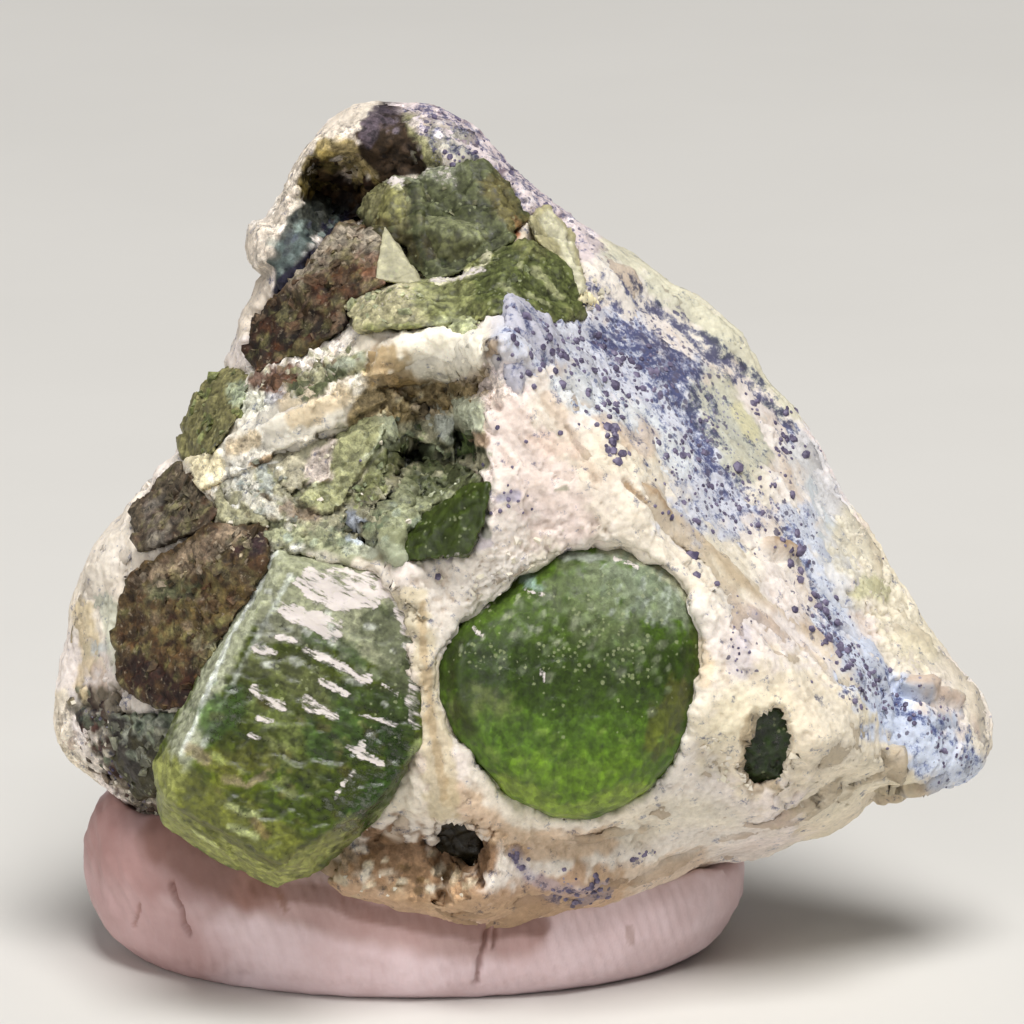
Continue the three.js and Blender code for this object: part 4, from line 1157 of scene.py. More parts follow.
def paint_chalk(obj, points, front, edge_noise):
    """The ground colour of the chalk, with painted shade in its hollows, darker and browner there, and
    painted light on its crests, and the stains over it.
    """
    tone = smoothstep(noise_at(points, 4.5, 2.0), -0.25, 0.35)[:, None]
    base = CREAM * (1 - 0.5 * tone) + PINK * 0.5 * tone
    warm = (0.6 * smoothstep(noise_at(points, 3.5, 12.0), 0.05, 0.45))[:, None]
    base = base * (1 - warm) + WARM * warm
    cool = ((1 - front) * smoothstep(noise_at(points, 5.0, 21.0), 0.1, 0.4))[:, None]
    base = base * (1 - cool) + COOL * cool
    # Painted shade: vertices lying below their surroundings are painted darker and browner, those standing
    # above them a little lighter.
    hollow = hollow_depth(obj, 0.22) / 0.08 + hollow_depth(obj, 0.55) / 0.3
    hollow_shade = np.clip(hollow, -0.6, 1.6)[:, None]
    base = base * (1 - 0.15 * hollow_shade) * (1 - np.clip(hollow_shade, 0, 2) * np.array([0.02, 0.08, 0.14, 0]))
    paint(obj, base, WASHES + LEDGE + PEAK + FLECKS, points, edge_noise, front, hollow_shade)
    behind = (1 - front) * smoothstep(noise_at(points, 5.0, 21.0), 0.15, 0.45) * 0.5
    mark(obj, "pepper", np.clip(covered(points, PEPPER, edge_noise, front) + behind, 0, 0.9))
    mark(obj, "mottled", np.clip(covered(points, MOTTLED, edge_noise, front), 0, 1))
    mark(obj, "slate", np.clip(covered(points, SLATE, edge_noise, front) + 0.6 * behind, 0, 0.75))
    mark(obj, "wax", np.clip(covered(points, WAXY, edge_noise, front), 0, 1))


def finish_chalk(obj, offset, node=None):
    """Sculpts and paints the lump or one of its finer faces."""
    carve(obj)
    points = to_face(obj)
    front = front_share(points)
    edge_noise = 0.7 * noise_at(points, 0.7, 3.1) + 0.5 * noise_at(points, 0.32, 5.7)
    edge_noise += 0.4 * noise_at(points, 1.6)
    push(obj, chalk_relief(obj, points, front, edge_noise) + offset)
    paint_chalk(obj, points, front, edge_noise)
    place_piece(obj, magnesite, node)


# %% [markdown]
# Each finer face dips under the lump or under the next face at its border, and the lump sinks under the
# middle of every face, so that the one passes into the other without an edge. Where the lump turns away
# from the viewer, a face is so thin that its two sides would change places if each sank along its own
# normals, and so both sides go straight into the lump there.

# %% Sculpt and paint the lump
FACE_SINK = 0.25
RIM_SINK = 0.3
STEEP_FACING = 0.2
PLAIN_FACING = 0.5


def lump_normals(obj, tree):
    """The normal of the lump's surface nearest to each vertex of a piece."""
    return np.array([tree.find_nearest(place)[1] for place in get(obj, "co").tolist()])


plain_lump = BVHTree.FromPolygons(
    [vert.co for vert in lump.data.vertices],
    [tuple(face.vertices) for face in lump.data.polygons],
)
inwards = {name: -lump_normals(obj, plain_lump) for name, obj in faces.items()}
shares, any_face = face_shares(to_face(lump), facing_viewer(lump))
finish_chalk(lump, -FACE_SINK * smoothstep(any_face, 0.55, 0.9), "matrix")
for name, obj in faces.items():
    shares, any_face = face_shares(to_face(obj), facing_viewer(obj))
    share = shares[name]
    sink = FACE_SINK * (1 - smoothstep(share, 0.15, 0.5)) + RIM_SINK * (1 - smoothstep(share, 0, 0.15))
    facing = -inwards[name] @ np.array(towards_viewer)
    steep = 1 - smoothstep(facing, STEEP_FACING, PLAIN_FACING)
    finish_chalk(obj, -sink * (1 - steep))
    push(obj, sink * steep, inwards[name])

# %% [markdown]
# ## The crystals
# Each crystal is the CAD block, swollen by the gap that the CAD part leaves round it, so that it sits
# fast in its pocket. Natural faces are never quite flat: growth steps run along them, and etching
# has dulled them, so each gets a fine relief of stretched noise.


# %% Crystal maker
def finish_stone(obj, material, base, washes, veils, crusts_and_glints, dots, relief, node=None):
    """Sculpts and paints a stone. Relief is the height of its lumps, chips and streaks, and their turn."""
    points = to_face(obj)
    front = np.ones(len(points))
    lump_height, chip_height, streak_height, turn = relief
    across = np.array([math.cos(math.radians(turn)), 0, math.sin(math.radians(turn))])
    stretched = points - 0.85 * np.outer(points @ across, across)
    middling = noise_at(points, 0.8, 4.0)
    fine = noise_at(points, 0.3, 8.0)
    streaks = noise_at(stretched, 0.35, 2.0)
    edge_noise = 0.6 * middling + 0.5 * fine + 0.5 * streaks
    lumps = lump_height * (noise_at(points, 1.6, 6.0) + 0.3 * middling + 0.2 * fine)
    broken = chip_height * (chips(points, 1.3) + 0.5 * chips(points, 0.6, 5.0))
    push(obj, lumps + broken + streak_height * streaks)
    # Painted shade: the stone is painted darker in its hollows and lighter on its bumps.
    hollow_shade = np.clip(hollow_depth(obj, 0.17) / 0.05 + hollow_depth(obj, 0.4) / 0.2, -0.8, 1.6)[:, None]
    shaded = np.array(linear(base)) * (1 - 0.25 * hollow_shade)
    paint(obj, shaded, washes, points, edge_noise, front, hollow_shade)
    mark(obj, "veil", np.clip(covered(points, veils, edge_noise, front), -0.5, 1.2))
    mark(obj, "crust", np.clip(covered(points, crusts_and_glints, edge_noise, front), 0, 1.2))
    mark(obj, "specks", np.clip(covered(points, dots, edge_noise, front), 0, 1))
    place_piece(obj, material, node)
    return obj


def crystal(node, material, voxel, smoothing, base, washes, veils, crusts_and_glints, dots, relief, swell=0.22):
    """One crystal of the CAD part."""
    obj = from_cad(node, node + "_surface", voxel, smoothing, swell)
    return finish_stone(obj, material, base, washes, veils, crusts_and_glints, dots, relief, node)


# %% [markdown]
# The two large crystals are the clear ones. The left one is a stout prism with a striated edge and torn,
# pinkish-white scales on its upper face that are partly a painted reflection, and painted highlights on
# its lower bevel. The right one is rounded like a pebble, frosted on its shoulder under a painted
# reflection, with a painted highlight on its top rim and painted light through its bottom.

# %% Large crystals
EVERYWHERE = [(512, 512)]

crystal(
    "crystal_left", striated_peridot, 0.12, 3, "#4E591B",
    [
        ("#989A80", 0.9, FILLED, 0.9, [
            (282, 550), (360, 560), (404, 580), (412, 640), (404, 672), (330, 640), (262, 640), (262, 590),
        ]),
        ("#5C624A", 0.8, 22, 0.9, [(380, 618), (406, 640), (404, 690)]),
        ("#4E5E3A", 0.9, 8, 0.9, [(312, 632), (340, 640), (366, 660)]),
        ("#9DA088", 0.95, 17, 0.6, [(278, 550), (235, 640), (182, 765)]),
        ("#D6DBD2", 0.8, 3, 0.9, [(283, 548), (240, 630), (190, 748)]),
        ("#C6CCC0", 0.7, 3, 0.9, [(296, 575), (255, 650), (212, 738)]),
        ("#6C7246", 0.8, 18, 0.9, [(262, 660), (300, 670), (330, 690)]),
        ("#4C6A2A", 0.85, 20, 0.8, [(222, 715), (240, 700)]),
        ("#7E8A4C", 0.7, 20, 0.8, [(270, 700), (296, 730), (290, 745)]),
        ("#445824", 0.85, 18, 0.9, [(350, 694), (395, 700), (404, 722)]),
        ("#46602A", 0.85, 24, 0.9, [(330, 735), (350, 722), (372, 730)]),
        ("#4E6018", 0.85, 30, 0.8, [(290, 790), (330, 800), (366, 780)]),
        ("#38521A", 0.9, 15, 0.8, [(385, 728), (405, 745)]),
        ("#3C5C1A", 0.9, 18, 0.8, [(362, 812), (392, 775)]),
        ("#A0AC72", 0.8, 9, 0.8, [(385, 812), (410, 785), (424, 740)]),
        ("#66682C", 0.8, 14, 0.8, [(228, 757), (272, 752)]),
        ("#94866A", 0.7, 6, 0.9, [(198, 742), (214, 752)]),
        ("#94866A", 0.7, 4, 1.0, [(234, 772), (254, 778), (276, 766)]),
        ("#787C36", 0.85, 34, 0.7, [(175, 780), (230, 820), (290, 850)]),
        ("#969A5A", 0.9, 11, 0.8, [(168, 765), (180, 815), (215, 838), (284, 872), (330, 838), (355, 820)]),
        # Painted highlights: the three light yellow-green lines on the lower bevel.
        ("#C2CA8C", 0.9, 4, 0.7, [(237, 797), (265, 808)]),
        ("#C2CA8C", 0.9, 4, 0.7, [(236, 817), (262, 828)]),
        ("#BCC480", 0.9, 4, 0.7, [(202, 824), (224, 838)]),
        ("#8E7C50", 0.8, 5, 0.9, [(262, 812), (272, 826)]),
    ]
    + flecks(50, ["#39461A", "#8C9458", "#6C6A34"], 4, 26, [(240, 740), (300, 770), (370, 730)], -28, 8)
    + flecks(50, ["#C9CCC2", "#7C8468", "#4C5634"], 3, 24, [(290, 600), (340, 640), (396, 680)], -28, 12),
    [
        (0.58, 900, 0.1, EVERYWHERE),
        (0.45, 17, 0.5, [(278, 550), (235, 640), (182, 765)]),
        (0.35, 50, 0.6, [(285, 560), (340, 590), (400, 640)]),
        (0.4, 14, 0.8, [(200, 740), (240, 775), (275, 775)]),
        (-0.25, 28, 0.6, [(350, 800), (390, 740)]),
        (-0.2, 24, 0.6, [(220, 715), (240, 700)]),
        (0.25, 14, 0.6, [(168, 765), (180, 815), (215, 838), (284, 872), (330, 838)]),
    ],
    [
        # Partly painted reflection: this white patch and the streak after it are chalk crust and also stand
        # for the lamp's reflection on the upper face.
        (0.95, FILLED, 1.2, [
            (300, 582), (316, 562), (345, 566), (392, 572), (402, 590), (380, 602), (352, 612), (322, 604),
        ]),
        (0.35, 26, 0.9, [(300, 590), (350, 600), (400, 600)]),
        (0.75, 9, 0.9, [(292, 610), (344, 624)]),
        (0.22, 30, 0.9, [(280, 640), (330, 650), (390, 680)]),
        (0.9, 5, 0.7, [(311, 648), (340, 660), (372, 676)]),
        (0.8, 4, 0.8, [(263, 645), (281, 650)]),
        (0.85, 4, 0.8, [(284, 634), (300, 637)]),
        (0.8, 4, 0.8, [(326, 676), (350, 690)]),
        (0.95, 6, 0.7, [(262, 684), (272, 694), (288, 702)]),
        (0.85, 5, 0.7, [(266, 712), (278, 716)]),
        (0.95, 8, 0.7, [(313, 698), (337, 712)]),
        (0.9, 4, 0.8, [(258, 729), (266, 732)]),
        (1.0, 4, 0.7, [(353, 740), (366, 746), (385, 757)]),
        (1.0, 5, 0.7, [(366, 738), (366, 748)]),
        (0.85, 3, 0.9, [(340, 790), (350, 774), (360, 764)]),
        (0.9, 3, 0.8, [(364, 709), (398, 719)]),
        (0.8, 3, 0.8, [(386, 680), (400, 690)]),
        (1.0, 3, 0.6, [(331, 547), (345, 552)]),
        (1.0, 3, 0.6, [(349, 555), (360, 560)]),
        (0.6, 8, 0.9, [(405, 600), (412, 660), (420, 720)]),
        (0.2, 40, 0.9, [(250, 600), (225, 660)]),
    ],
    [(0.15, 60, 0.5, [(300, 620), (380, 680)])],
    (0.06, 0.1, 0.06, -28),
)
crystal(
    "crystal_right", rounded_peridot, 0.13, 4, "#466018",
    [
        ("#52682A", 0.7, 60, 0.7, [(500, 600), (600, 640)]),
        # Partly painted reflection: the pale grey-green of the frosted shoulder.
        ("#7E8672", 0.8, 30, 0.9, [(606, 578), (650, 586), (678, 606)]),
        ("#6E7A54", 0.7, 34, 0.9, [(580, 590), (620, 640)]),
        ("#3A5014", 0.8, 36, 0.8, [(470, 660), (540, 680), (640, 670), (680, 660)]),
        ("#7C8650", 0.7, 20, 0.9, [(468, 700), (500, 705)]),
        # Painted light: the greens brighten towards the bottom as if lit through from above, ending in a
        # bright line along the bottom edge.
        ("#587824", 0.8, 40, 0.7, [(500, 735), (570, 740), (640, 735)]),
        ("#6C8C28", 0.9, 28, 0.7, [(520, 768), (565, 785), (630, 768)]),
        ("#8CA242", 0.8, 10, 0.7, [(505, 775), (563, 806), (640, 784)]),
        ("#66662C", 0.7, 16, 0.8, [(672, 690), (650, 740)]),
        ("#4F5F22", 0.8, 8, 0.6, [(690, 600), (697, 660), (690, 700)]),
        ("#3A4C16", 0.8, 10, 0.8, [(456, 625), (460, 680), (468, 720)]),
        ("#9DB8AC", 0.8, 6, 1.0, [(524, 576), (534, 586)]),
        # Painted highlight: pale lines along the top rim.
        ("#8C8E76", 0.95, 5, 0.5, [(600, 548), (622, 553), (640, 562), (662, 576), (684, 596)]),
        ("#9AA294", 0.9, 4, 1.0, [(562, 553), (580, 556), (598, 556)]),
    ]
    + flecks(
        90, ["#7C8A66", "#969F80", "#6C7E52"],
        3.5, 24, [(490, 640), (540, 610), (590, 625), (640, 640)], 60, 5,
    )
    + flecks(50, ["#99A294", "#6E7A62"], 2.5, 15, [(606, 586), (640, 580), (668, 596)], 75, 12)
    + flecks(50, ["#728C3A", "#4A641E"], 4, 22, [(500, 740), (560, 760), (640, 740)], 20, 8),
    [
        (0.72, 900, 0.1, EVERYWHERE),
        # Partly painted reflection: more veil on the frosted shoulder.
        (0.3, 30, 0.6, [(610, 580), (650, 582), (675, 600)]),
        (-0.15, 40, 0.8, [(470, 660), (600, 690), (680, 680)]),
    ],
    [
        (0.8, 6, 0.9, [(458, 608), (485, 602)]),
        (0.9, 3, 0.9, [(526, 588), (541, 592)]),
        # Painted highlight: white on the edge of the top rim.
        (1.0, 3, 0.8, [(613, 558), (634, 567)]),
        (0.9, 3, 0.5, [(475, 625), (482, 632)]),
        (0.9, 3, 0.6, [(540, 665), (543, 675)]),
    ],
    [
        (0.25, 50, 0.8, [(490, 630), (560, 615), (640, 630)]), (0.3, 26, 0.9, [(570, 640), (620, 650)]),
        (0.3, 14, 0.9, [(485, 650), (520, 665)]), (0.1, 40, 0.8, [(560, 690), (620, 700)]),
    ],
    (0.07, 0.05, 0.03, 80),
)

# %% [markdown]
# The small crystals are frosted: they still let light in, but their faces are granular and grey-green.

# %% Small crystals
SMALL = [
    ("crystal_middle", rounded_peridot, "clear_peridot", "#3E4C1C", 0.65, 0.2),
    ("crystal_top", frosted_peridot, "frosted_peridot", "#53573E", 0.9, 0.15),
    ("crystal_band", frosted_peridot, "frosted_peridot", "#6E7048", 0.85, 0.2),
    ("crystal_edge", frosted_peridot, "frosted_peridot", "#787450", 0.85, 0.1),
    ("crystal_corner", frosted_peridot, "frosted_peridot", "#3F3C2C", 0.9, 0.1),
    ("crystal_horn", pale_peridot, "pale_peridot", "#B0A984", 0.8, 0.03),
    ("shard", pale_peridot, "pale_peridot", "#ACA88C", 0.85, 0.03),
    ("window_crystal_right", dark_peridot, "dark_peridot", "#2C3E1C", 0.6, 0.1),
    ("window_crystal_low", dark_peridot, "dark_peridot", "#231F12", 0.6, 0.05),
]
SMALL_WASHES = {
    "crystal_band": [
        ("#B2AC8A", 0.95, 24, 0.6, [(350, 312), (385, 308), (415, 305)]),
        ("#84875C", 0.8, 20, 0.6, [(430, 302), (462, 302)]),
        ("#DCD6B8", 0.9, 5, 0.7, [(435, 282), (480, 275), (490, 255)]),
        ("#525A32", 0.85, 34, 0.6, [(500, 290), (560, 290)]),
        ("#A4A67C", 0.85, 4, 0.9, [(500, 262), (520, 268)]),
        ("#A4A67C", 0.85, 4, 0.9, [(536, 272), (548, 286), (560, 300)]),
        ("#9FA27A", 0.85, 4, 0.9, [(505, 292), (516, 300)]),
        ("#9FA27A", 0.85, 3, 0.9, [(528, 300), (548, 308)]),
        ("#B9BD94", 0.8, 10, 0.7, [(445, 330), (478, 335)]),
    ],
    "crystal_top": [
        ("#7F7C5A", 0.9, 26, 0.6, [(378, 200), (400, 215)]),
        ("#3B3420", 0.8, 16, 0.8, [(365, 235), (405, 245), (425, 255)]),
        ("#8E927C", 0.8, 18, 0.7, [(415, 170), (450, 168)]),
        ("#3C4028", 0.9, 5, 0.6, [(412, 215), (450, 218), (500, 215)]),
        ("#3A3F2A", 0.8, 4, 0.8, [(413, 190), (417, 240), (430, 275)]),
        ("#6A623E", 0.8, 14, 0.8, [(492, 190), (514, 225)]),
        ("#8A6648", 0.6, 4, 0.9, [(516, 222), (524, 232)]),
    ],
    "crystal_horn": [("#E0DCC0", 0.8, 8, 0.6, [(548, 222), (565, 250), (578, 290)])],
    "crystal_edge": [("#B9C4A8", 0.8, 14, 0.7, [(245, 395), (265, 400)])],
    "crystal_corner": [
        ("#6A7262", 0.9, 18, 0.9, [(145, 706), (170, 720), (180, 740)]),
        ("#3E3A38", 0.8, 8, 0.9, [(120, 715), (140, 770)]),
    ]
    + flecks(40, ["#A3A698", "#4C5648", "#8E9684"], 4, 16, [(140, 710), (180, 740)], -50, 8),
}
SMALL_CRUSTS = {
    "crystal_top": [
        (1.0, 5, 0.6, [(388, 182), (405, 186)]),
        (1.0, 4, 0.6, [(390, 206), (405, 210)]),
        (0.6, 12, 0.9, [(420, 170), (450, 180)]),
    ],
    "crystal_band": [(0.5, 16, 0.9, [(350, 300), (410, 300)]), (0.9, 4, 0.7, [(435, 282), (485, 275)])],
    "crystal_middle": [(0.6, 3, 0.9, [(440, 560), (462, 552)])],
}
for node, material, slot, base, veil, dot in SMALL:
    crystal(
        node, material, 0.08 if node == "shard" else 0.14, 2, base, SMALL_WASHES.get(node, []),
        [(veil, 900, 0.1, EVERYWHERE)], SMALL_CRUSTS.get(node, []), [(dot, 900, 0.1, EVERYWHERE)],
        (0.03, 0.05, 0.03, 60) if node == "shard" else (0.12, 0.22, 0.05, -30),
    )

# %% [markdown]
# The weathered crystals are opaque, so their colour is all in their skin.

# %% Weathered crystals
WEATHERED = [
    (
        "weathered_crystal_upper", "#44321F",
        [
            ("#9C9282", 0.9, 18, 0.9, [(300, 276), (325, 252), (350, 242), (370, 250)]),
            ("#7E6250", 0.8, 12, 1.0, [(366, 262), (382, 280), (392, 300)]),
            ("#1E130B", 0.95, 32, 0.8, [(262, 340), (295, 326), (335, 330)]),
            ("#5A2C20", 0.7, 14, 0.8, [(265, 380), (300, 378)]),
            ("#6E6A40", 0.8, 14, 0.8, [(300, 365), (350, 350)]),
        ]
        + flecks(
            90, ["#75624E", "#56351F", "#1C110A", "#625A3A"],
            4, 24, [(270, 340), (320, 300), (370, 260)], 30, 6,
        ),
    ),
    (
        "weathered_crystal_lower", "#4E3E26",
        [
            ("#97846E", 0.9, 13, 0.8, [(150, 580), (200, 556), (235, 534)]),
            ("#5E6446", 0.7, 12, 0.9, [(160, 588), (215, 590)]),
            ("#6A5A30", 0.7, 24, 0.9, [(180, 630), (230, 600)]),
            ("#2E1A20", 0.9, 9, 1.0, [(242, 550), (268, 540)]),
            # Partly painted shade: the bottom is painted near-black over its reddish rust.
            ("#2C1610", 0.95, 22, 0.8, [(145, 670), (180, 692), (210, 682)]),
            ("#8F8C70", 0.9, 8, 0.9, [(203, 642), (218, 648)]),
        ]
        + flecks(
            90, ["#8A7A62", "#5C4428", "#2A1A12", "#7A7648"],
            4, 26, [(150, 620), (200, 600), (190, 670)], 30, 6,
        ),
    ),
    (
        "weathered_plate", "#544A3C",
        [
            ("#6E6860", 0.85, 13, 0.8, [(160, 510), (168, 550)]),
            ("#231B14", 0.9, 3, 0.8, [(177, 495), (180, 540)]),
            ("#8E9286", 0.8, 5, 0.9, [(150, 556), (156, 566)]),
        ]
        + flecks(30, ["#7C7466", "#3A3026"], 4, 14, [(165, 540), (200, 500)], 60, 6),
    ),
]
for node, base, washes in WEATHERED:
    crystal(
        node, weathered_peridot, 0.16, 2, base, washes,
        [], [], [(0.7, 900, 0.1, EVERYWHERE)], (0.16, 0.26, 0.06, 20), 0.24,
    )

# %% [markdown]
# ## Putty pad
# The pad was rolled between fingers and pressed flat by the stone. It keeps faint parallel ridges from
# the skin and a few creases. Painted shade darkens the creases, its left end and a band where the stone
# sits on it.

# %% Putty pad
RIDGE_PITCH = 0.5
CREASES = [
    (-0.25, 2.6, 0.3, [(174, 880), (178, 896), (184, 906), (185, 918), (192, 930)]),
    (-0.25, 2.8, 0.3, [(489, 918), (485, 938), (482, 950), (477, 978)]),
    (-0.15, 2.4, 0.3, [(497, 918), (494, 940)]),
    (-0.08, 2, 0.4, [(141, 902), (139, 912), (135, 924)]),
]
PAD_SHADE_AND_MARKS = [
    # Painted shade: a darker left end, and a contact shadow in several bands where the stone sits on the
    # putty.
    ("#9C786A", 0.7, 50, 0.15, [(100, 820), (160, 850), (230, 866)]),
    ("#CDB2AA", 0.7, 80, 0.1, [(70, 850), (100, 920), (150, 960)]),
    ("#86624E", 0.7, 26, 0.2, [(165, 838), (210, 862), (262, 884)]),
    ("#B08E7C", 0.6, 30, 0.15, [(262, 884), (330, 900), (400, 916), (450, 926), (520, 926)]),
    ("#86624E", 0.6, 12, 0.3, [(262, 882), (330, 892), (370, 906), (420, 916), (476, 924), (540, 920)]),
    ("#9C7C66", 0.7, 3, 0.9, [(283, 892), (288, 905)]),
    ("#A88E78", 0.4, 4, 0.9, [(628, 925), (630, 938)]),
]

pad = from_cad("putty_pad", "putty_pad_surface", 0.3, 4)
finer_front(pad)
points = to_face(pad)
front = front_share(points)
edge_noise = noise_at(points, 0.8, 3.0)
ridge_way = points[:, 0] + 0.35 * points[:, 2] + 0.5 * noise_at(points, 4.0, 1.0) + 0.08 * edge_noise
pressed = 0.3 + 0.4 * smoothstep(noise_at(points, 5.0, 3.0), -0.15, 0.2)
pressed += 0.5 * covered(points, [(1, 70, 0.5, [(270, 930), (360, 950), (470, 960)])], edge_noise, front)
ridges = pressed * np.sin(ridge_way * 2 * math.pi / RIDGE_PITCH)
level = smoothstep((get(pad, "co") / MM)[:, 2], 0.15, 0.8)
folds = covered(points, CREASES, edge_noise, front)
dimples = 0.16 * noise_at(points, 2.2, 7.0) + 0.05 * edge_noise + 0.015 * noise_at(points, 0.3, 1.0)
push(pad, level * (0.03 * ridges + dimples + folds))
paint(
    pad, (1, 1, 1, 1),
    # The creases are painted darker too: painted shade.
    PAD_SHADE_AND_MARKS + [("#A07A66", 0.5, radius, ragged, line) for height, radius, ragged, line in CREASES],
    points, edge_noise, front,
)
place_piece(pad, putty, "putty_pad")

# %% [markdown]
# ## What lies on the stone
# Chunks, grains and crumbs are placed by what shows in the photograph: each is dropped on the stone along
# the line of sight.

# %% Finding places on the stone
draw = random.Random(41)
surfaces = {}


def learn_surfaces():
    """Notes the surface of every finished stone, so that things can be dropped on it."""
    bpy.context.view_layer.update()
    for obj in bpy.context.scene.objects:
        if obj.type == "MESH" and obj.name not in frame["nodes"] and obj is not pad:
            bm = bmesh.new()
            bm.from_mesh(obj.data)
            surfaces[obj.name] = BVHTree.FromBMesh(bm)
            bm.free()


def drop(x, z, only=("",)):
    """What the line of sight through x, z on the face meets first, if that is one of the surfaces named."""
    start = face_to_world @ Vector((x, -30, z))
    hits = []
    for name, tree in surfaces.items():
        place, normal, index, distance = tree.ray_cast(start, -towards_viewer)
        if place is not None:
            hits.append((distance, name, place, normal))
    if not hits:
        return None
    distance, name, place, normal = min(hits, key=lambda hit: hit[0])
    return (place, normal) if any(name.startswith(word) for word in only) else None


learn_surfaces()
print(len(surfaces), "surfaces")

# %% [markdown]
# ## Chunks
# On the ledge and below the peak, larger chunks of crystal and chalk stand out of the stone. Each is the
# hull of an outline, sunk in what it stands on, and of a few ridge points above it. It then gets the same
# grid, chips and paint as the crystals.


# %% Chunk maker
CHUNK_SUNK = 0.35
CHUNK_RELIEF = (0.1, 0.18, 0.05, -30)
CHUNK_SPECKS = [(0.06, 900, 0.1, EVERYWHERE)]


def chunk(
    name, material, base, outline, ridge, washes=(), veil=0.8, relief=CHUNK_RELIEF, extra=None,
):
    """An angular chunk. The outline is places in the photograph, the ridge has heights in mm too."""
    bm = bmesh.new()
    for px, py, height in [(*place, -CHUNK_SUNK) for place in outline] + list(ridge):
        found = drop(*on_face(px, py))
        if found:
            bm.verts.new(found[0] + towards_viewer * height * MM)
    hull = bmesh.ops.convex_hull(bm, input=bm.verts)
    spare = [part for part in hull["geom_interior"] if isinstance(part, bmesh.types.BMVert)]
    bmesh.ops.delete(bm, geom=spare, context="VERTS")
    bmesh.ops.recalc_face_normals(bm, faces=bm.faces)
    obj = even_grid(bm, name, 0.11, 2)
    for layer, value in (extra or {}).items():
        mark(obj, layer, np.full(len(obj.data.vertices), value))
    veils = [(veil, 900, 0.1, EVERYWHERE)]
    finish_stone(obj, material, base, list(washes), veils, [], CHUNK_SPECKS, relief)


# %% Crystal chunks
CRYSTAL_CHUNKS = [
    (
        "top_knob", "#7C7A50",
        [(372, 196), (388, 178), (408, 180), (416, 200), (412, 232), (396, 243), (376, 232), (364, 214)],
        [(392, 192, 0.5), (385, 215, 0.5), (402, 222, 0.4)],
        [
            ("#C9C7A6", 0.9, 6, 0.7, [(390, 183), (404, 187)]),
            ("#4A4024", 0.8, 10, 0.8, [(372, 228), (405, 238)]),
        ],
    ),
    (
        "top_lobe", "#5A5C3E",
        [(418, 218), (450, 212), (490, 220), (502, 240), (480, 262), (445, 280), (422, 262), (414, 240)],
        [(440, 228, 0.4), (470, 240, 0.45), (445, 262, 0.3)],
        [
            ("#7E8262", 0.7, 12, 0.9, [(440, 225), (480, 235)]),
            ("#39422C", 0.8, 8, 0.8, [(420, 262), (450, 276)]),
        ],
    ),
    (
        "band_block", "#545A36",
        [(470, 262), (500, 246), (530, 247), (562, 264), (584, 300), (576, 318), (530, 314), (480, 302)],
        [(512, 262, 0.4), (550, 288, 0.4), (500, 285, 0.35)],
        [
            ("#A9AC86", 0.8, 4, 0.9, [(470, 264), (500, 248)]),
            ("#A4A67C", 0.8, 4, 0.9, [(536, 272), (548, 286), (560, 300)]),
            ("#9FA27A", 0.8, 4, 0.9, [(500, 290), (512, 298)]),
        ],
    ),
    (
        "band_chunk", "#B0B58C",
        [(442, 338), (452, 322), (478, 316), (486, 330), (470, 343)],
        [(462, 328, 0.5)], [],
    ),
]
for name, base, outline, ridge, washes in CRYSTAL_CHUNKS:
    chunk(name, frosted_peridot, base, outline, ridge, washes)

# %% Chalk chunks
PLAIN_CHALK = {"pepper": 0.0, "slate": 0.0, "wax": 0.2, "mottled": 0.1}
BLUISH_CHALK = {"pepper": 0.2, "slate": 0.2, "wax": 0.2, "mottled": 0.0}
CHALK_CHUNKS = [
    (
        "spur", "#B4B3BE",
        [
            (506, 292), (500, 312), (497, 350), (500, 400), (528, 422), (560, 392), (572, 350), (546, 318),
            (522, 300),
        ],
        [(510, 303, 0.6), (520, 330, 0.7), (514, 380, 0.5), (545, 345, 0.35)],
        [
            # Painted shade down the spur's left edge.
            ("#8E8A90", 0.7, 5, 0.8, [(500, 325), (502, 400)]),
            ("#E6DCCF", 0.8, 22, 0.6, [(512, 412), (545, 415)]),
        ],
        (0.08, 0.1, 0.08, 85), BLUISH_CHALK,
    ),
    (
        "cream_chip", "#E6DAB2", [(566, 300), (580, 289), (602, 296), (600, 309), (578, 311)],
        [(584, 298, 0.35)], [], (0.1, 0.15, 0.02, 0), PLAIN_CHALK,
    ),
]
for name, base, outline, ridge, washes, relief, layers in CHALK_CHUNKS:
    chunk(name, magnesite, base, outline, ridge, washes, 0.0, relief, layers)
chunk(
    "rusty_chunk", weathered_peridot, "#58402F",
    [(252, 391), (270, 374), (300, 371), (302, 387), (280, 397)], [(280, 383, 0.3)],
)

# %% [markdown]
# ## Grains and crumbs
# The blue-black grains are small hard crystals that stand a little out of the chalk, in clusters. Crumbs
# and splinters lie where things broke. All are scattered along strokes, and each is dropped on the stone
# along the line of sight, so that it sits on what carries it, seen from every side.


# %% Scatter helpers
learn_surfaces()


def along(line, radius, clumps):
    """A place picked at random beside a line of photograph pixels, close to one of its clumps."""
    places = [Vector(on_face(*pixel)) for pixel in line]
    legs = list(zip(places, places[1:])) or [(places[0], places[0])]
    clump = random.Random(f"{line} {draw.randrange(clumps)}") if clumps else draw
    start, end = clump.choices(legs, [(b - a).length + 1e-6 for a, b in legs])[0]
    spread = radius / PIXELS_PER_MM / 2
    spot = start.lerp(end, clump.random()) + Vector((clump.gauss(0, spread), clump.gauss(0, spread)))
    return spot + Vector((draw.gauss(0, 0.3), draw.gauss(0, 0.3))) if clumps else spot


